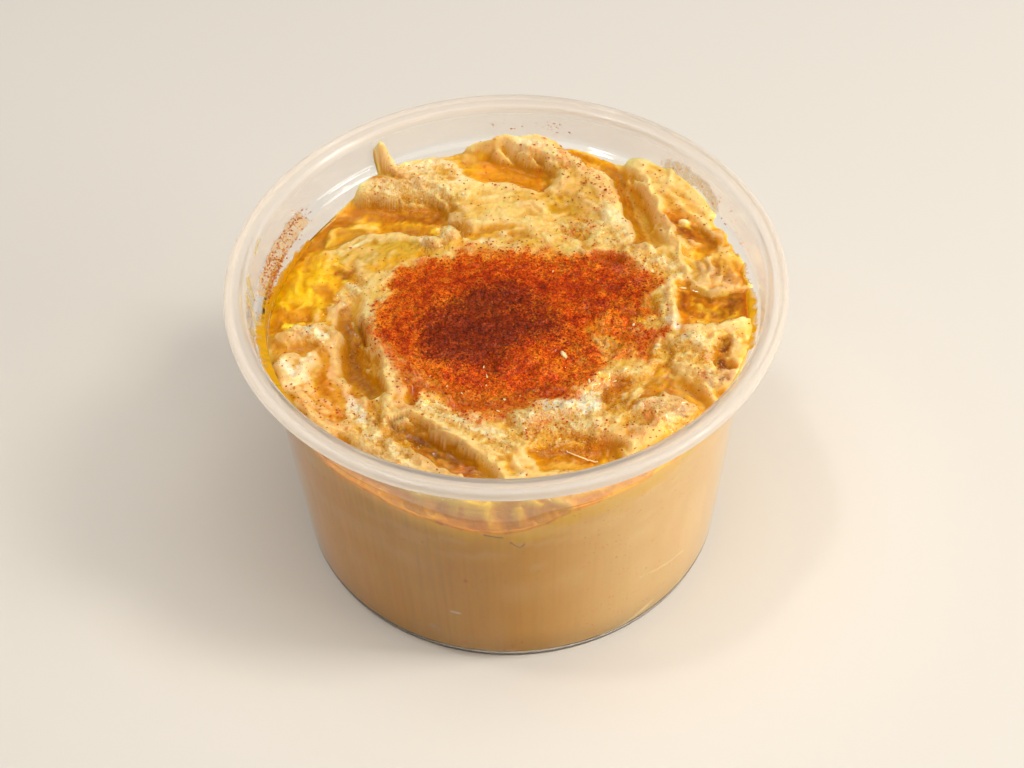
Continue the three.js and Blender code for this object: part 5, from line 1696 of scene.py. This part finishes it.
def buildCrumbs():
    # small torn crumbs of hummus where the surface is rough and dry
    rng = np.random.default_rng(crumbForm["seed"])
    x, y = (rng.random((2, crumbForm["count"] * 12)) * 2 - 1) * crumbForm["within"]
    torn = painted(roughPatches, x, y)
    wanted = (torn > 0.25 + 0.6 * rng.random(len(x))) & (np.hypot(x, y) < crumbForm["within"])
    wanted &= (readMap(oilDepthMap, x, y) < 0.01) & (dustAt(x, y) < 0.3)
    chosen = np.nonzero(wanted)[0][:crumbForm["count"]]
    x, y = x[chosen], y[chosen]
    sizes = crumbForm["small"] + (crumbForm["large"] - crumbForm["small"]) * rng.random(len(x)) ** 2
    centres = np.stack([x, y, fineHeight(x, y) + 0.2 * sizes], 1)
    points, faces, shade = grainMesh(centres, sizes * 1.2, rng.random(len(x)), rng)
    tint = np.repeat(tintAt(x, y, np.full(len(x), -0.3), np.zeros(len(x)), np.zeros(len(x))), 6, 0)
    meshPiece("hummusCrumbs", points, faces, bitMaterial, "hummus", foodFields(tint, 0.5, 0.4))
    print("crumbs:", len(x))


def buildDrops():
    # low beads of oil on the wet part of the paprika
    rng = np.random.default_rng(dropForm["seed"])
    drops = []
    curves = np.vstack([curvePoints(path, 12) for path in dropPaths])
    for _ in range(dropForm["count"]):
        x, y = curves[rng.integers(0, len(curves))] + rng.normal(0, 1.3, 2)
        size = dropForm["small"] + (dropForm["large"] - dropForm["small"]) * rng.random() ** 2
        drops.append(ballAt(x, y, 0, size * (1 + rng.random()), size, size * dropForm["height"],
                            rng.random() * math.pi, 0.1, rng))
    meshPiece("oilDrops", *joined(drops), oilMaterial, "oil")
    print("drops of oil:", dropForm["count"])


buildPot()
buildHummus()
for pool in pools:
    buildPool(pool)
buildPaprikaLayer()
buildGrains()
buildSheets("wallSmears", smears, smearMaterial)
buildSheets("bodyMarks", bodyMarks, bitMaterial)
buildWallDust()
buildBits()
buildCrumbs()
buildDrops()


stageLook = {
    "floor": srgb(232, 226, 217),
    "floorSize": 3.0,
    "skyStrength": 0.16,
    "skyColor": (1.0, 0.985, 0.965, 1),
}


def buildStage():
    half = stageLook["floorSize"] / 2
    mesh = bpy.data.meshes.new("floor")
    mesh.from_pydata([(-half, -half, 0), (half, -half, 0), (half, half, 0), (-half, half, 0)], [],
                     [(0, 1, 2, 3)])
    floor = bpy.data.objects.new("floor", mesh)
    bpy.context.scene.collection.objects.link(floor)
    n = Nodes("paleFloor")
    n.put(n.out.inputs["Surface"], n.add("BsdfPrincipled", Base_Color=stageLook["floor"], Roughness=0.7))
    mesh.materials.append(n.material)
    world = bpy.data.worlds.new("studio")
    world.use_nodes = True
    background = world.node_tree.nodes["Background"]
    background.inputs["Color"].default_value = stageLook["skyColor"]
    background.inputs["Strength"].default_value = stageLook["skyStrength"]
    bpy.context.scene.world = world


lampLook = {
    "key": dict(power=6.2, azimuth=-8, elevation=48, distance=1.2, size=0.25),
    "side": dict(power=4.8, azimuth=-20, elevation=20, distance=1.2, size=0.6),
    "top": dict(power=8.6, azimuth=-95, elevation=83, distance=1.3, size=1.4),
    "back": dict(power=2.0, azimuth=180, elevation=72, distance=1.2, size=0.1),
}
lampColor = (1.0, 0.97, 0.92)


def buildLamp(name, power, azimuth, elevation, distance, size):
    light = bpy.data.lights.new(name, "AREA")
    light.energy = power
    light.color = lampColor
    light.size = size
    lamp = bpy.data.objects.new(name, light)
    flat = math.cos(math.radians(elevation))
    toward = Vector((flat * math.cos(math.radians(azimuth)), flat * math.sin(math.radians(azimuth)),
                     math.sin(math.radians(elevation))))
    lamp.location = Vector((0, 0, 0.05)) + toward * distance
    lamp.rotation_mode = "QUATERNION"
    lamp.rotation_quaternion = toward.to_track_quat("Z", "Y")
    bpy.context.scene.collection.objects.link(lamp)


cameraLook = {
    "lens": 70.3125,
    "distance": 439.7,
    "elevation": 47.845,
    "roll": -1.675,
    "target": (0.706, 0.0, 37.59),
}


def buildCamera():
    data = bpy.data.cameras.new("camera")
    data.lens = cameraLook["lens"]
    data.sensor_width = 36
    data.clip_start, data.clip_end = 0.01, 10
    camera = bpy.data.objects.new("camera", data)
    elevation = math.radians(cameraLook["elevation"])
    back = Vector((0, -math.cos(elevation), math.sin(elevation)))
    camera.location = Vector(cameraLook["target"]) * mm + back * cameraLook["distance"] * mm
    camera.rotation_mode = "QUATERNION"
    camera.rotation_quaternion = (-back).to_track_quat("-Z", "Y") @ Quaternion(
        (0, 0, 1), math.radians(cameraLook["roll"]))
    bpy.context.scene.collection.objects.link(camera)
    bpy.context.scene.camera = camera


buildStage()
for name, settings in lampLook.items():
    buildLamp(name, **settings)
buildCamera()
bpy.context.scene.view_settings.view_transform = "Standard"
print("stage, lamp and camera set")
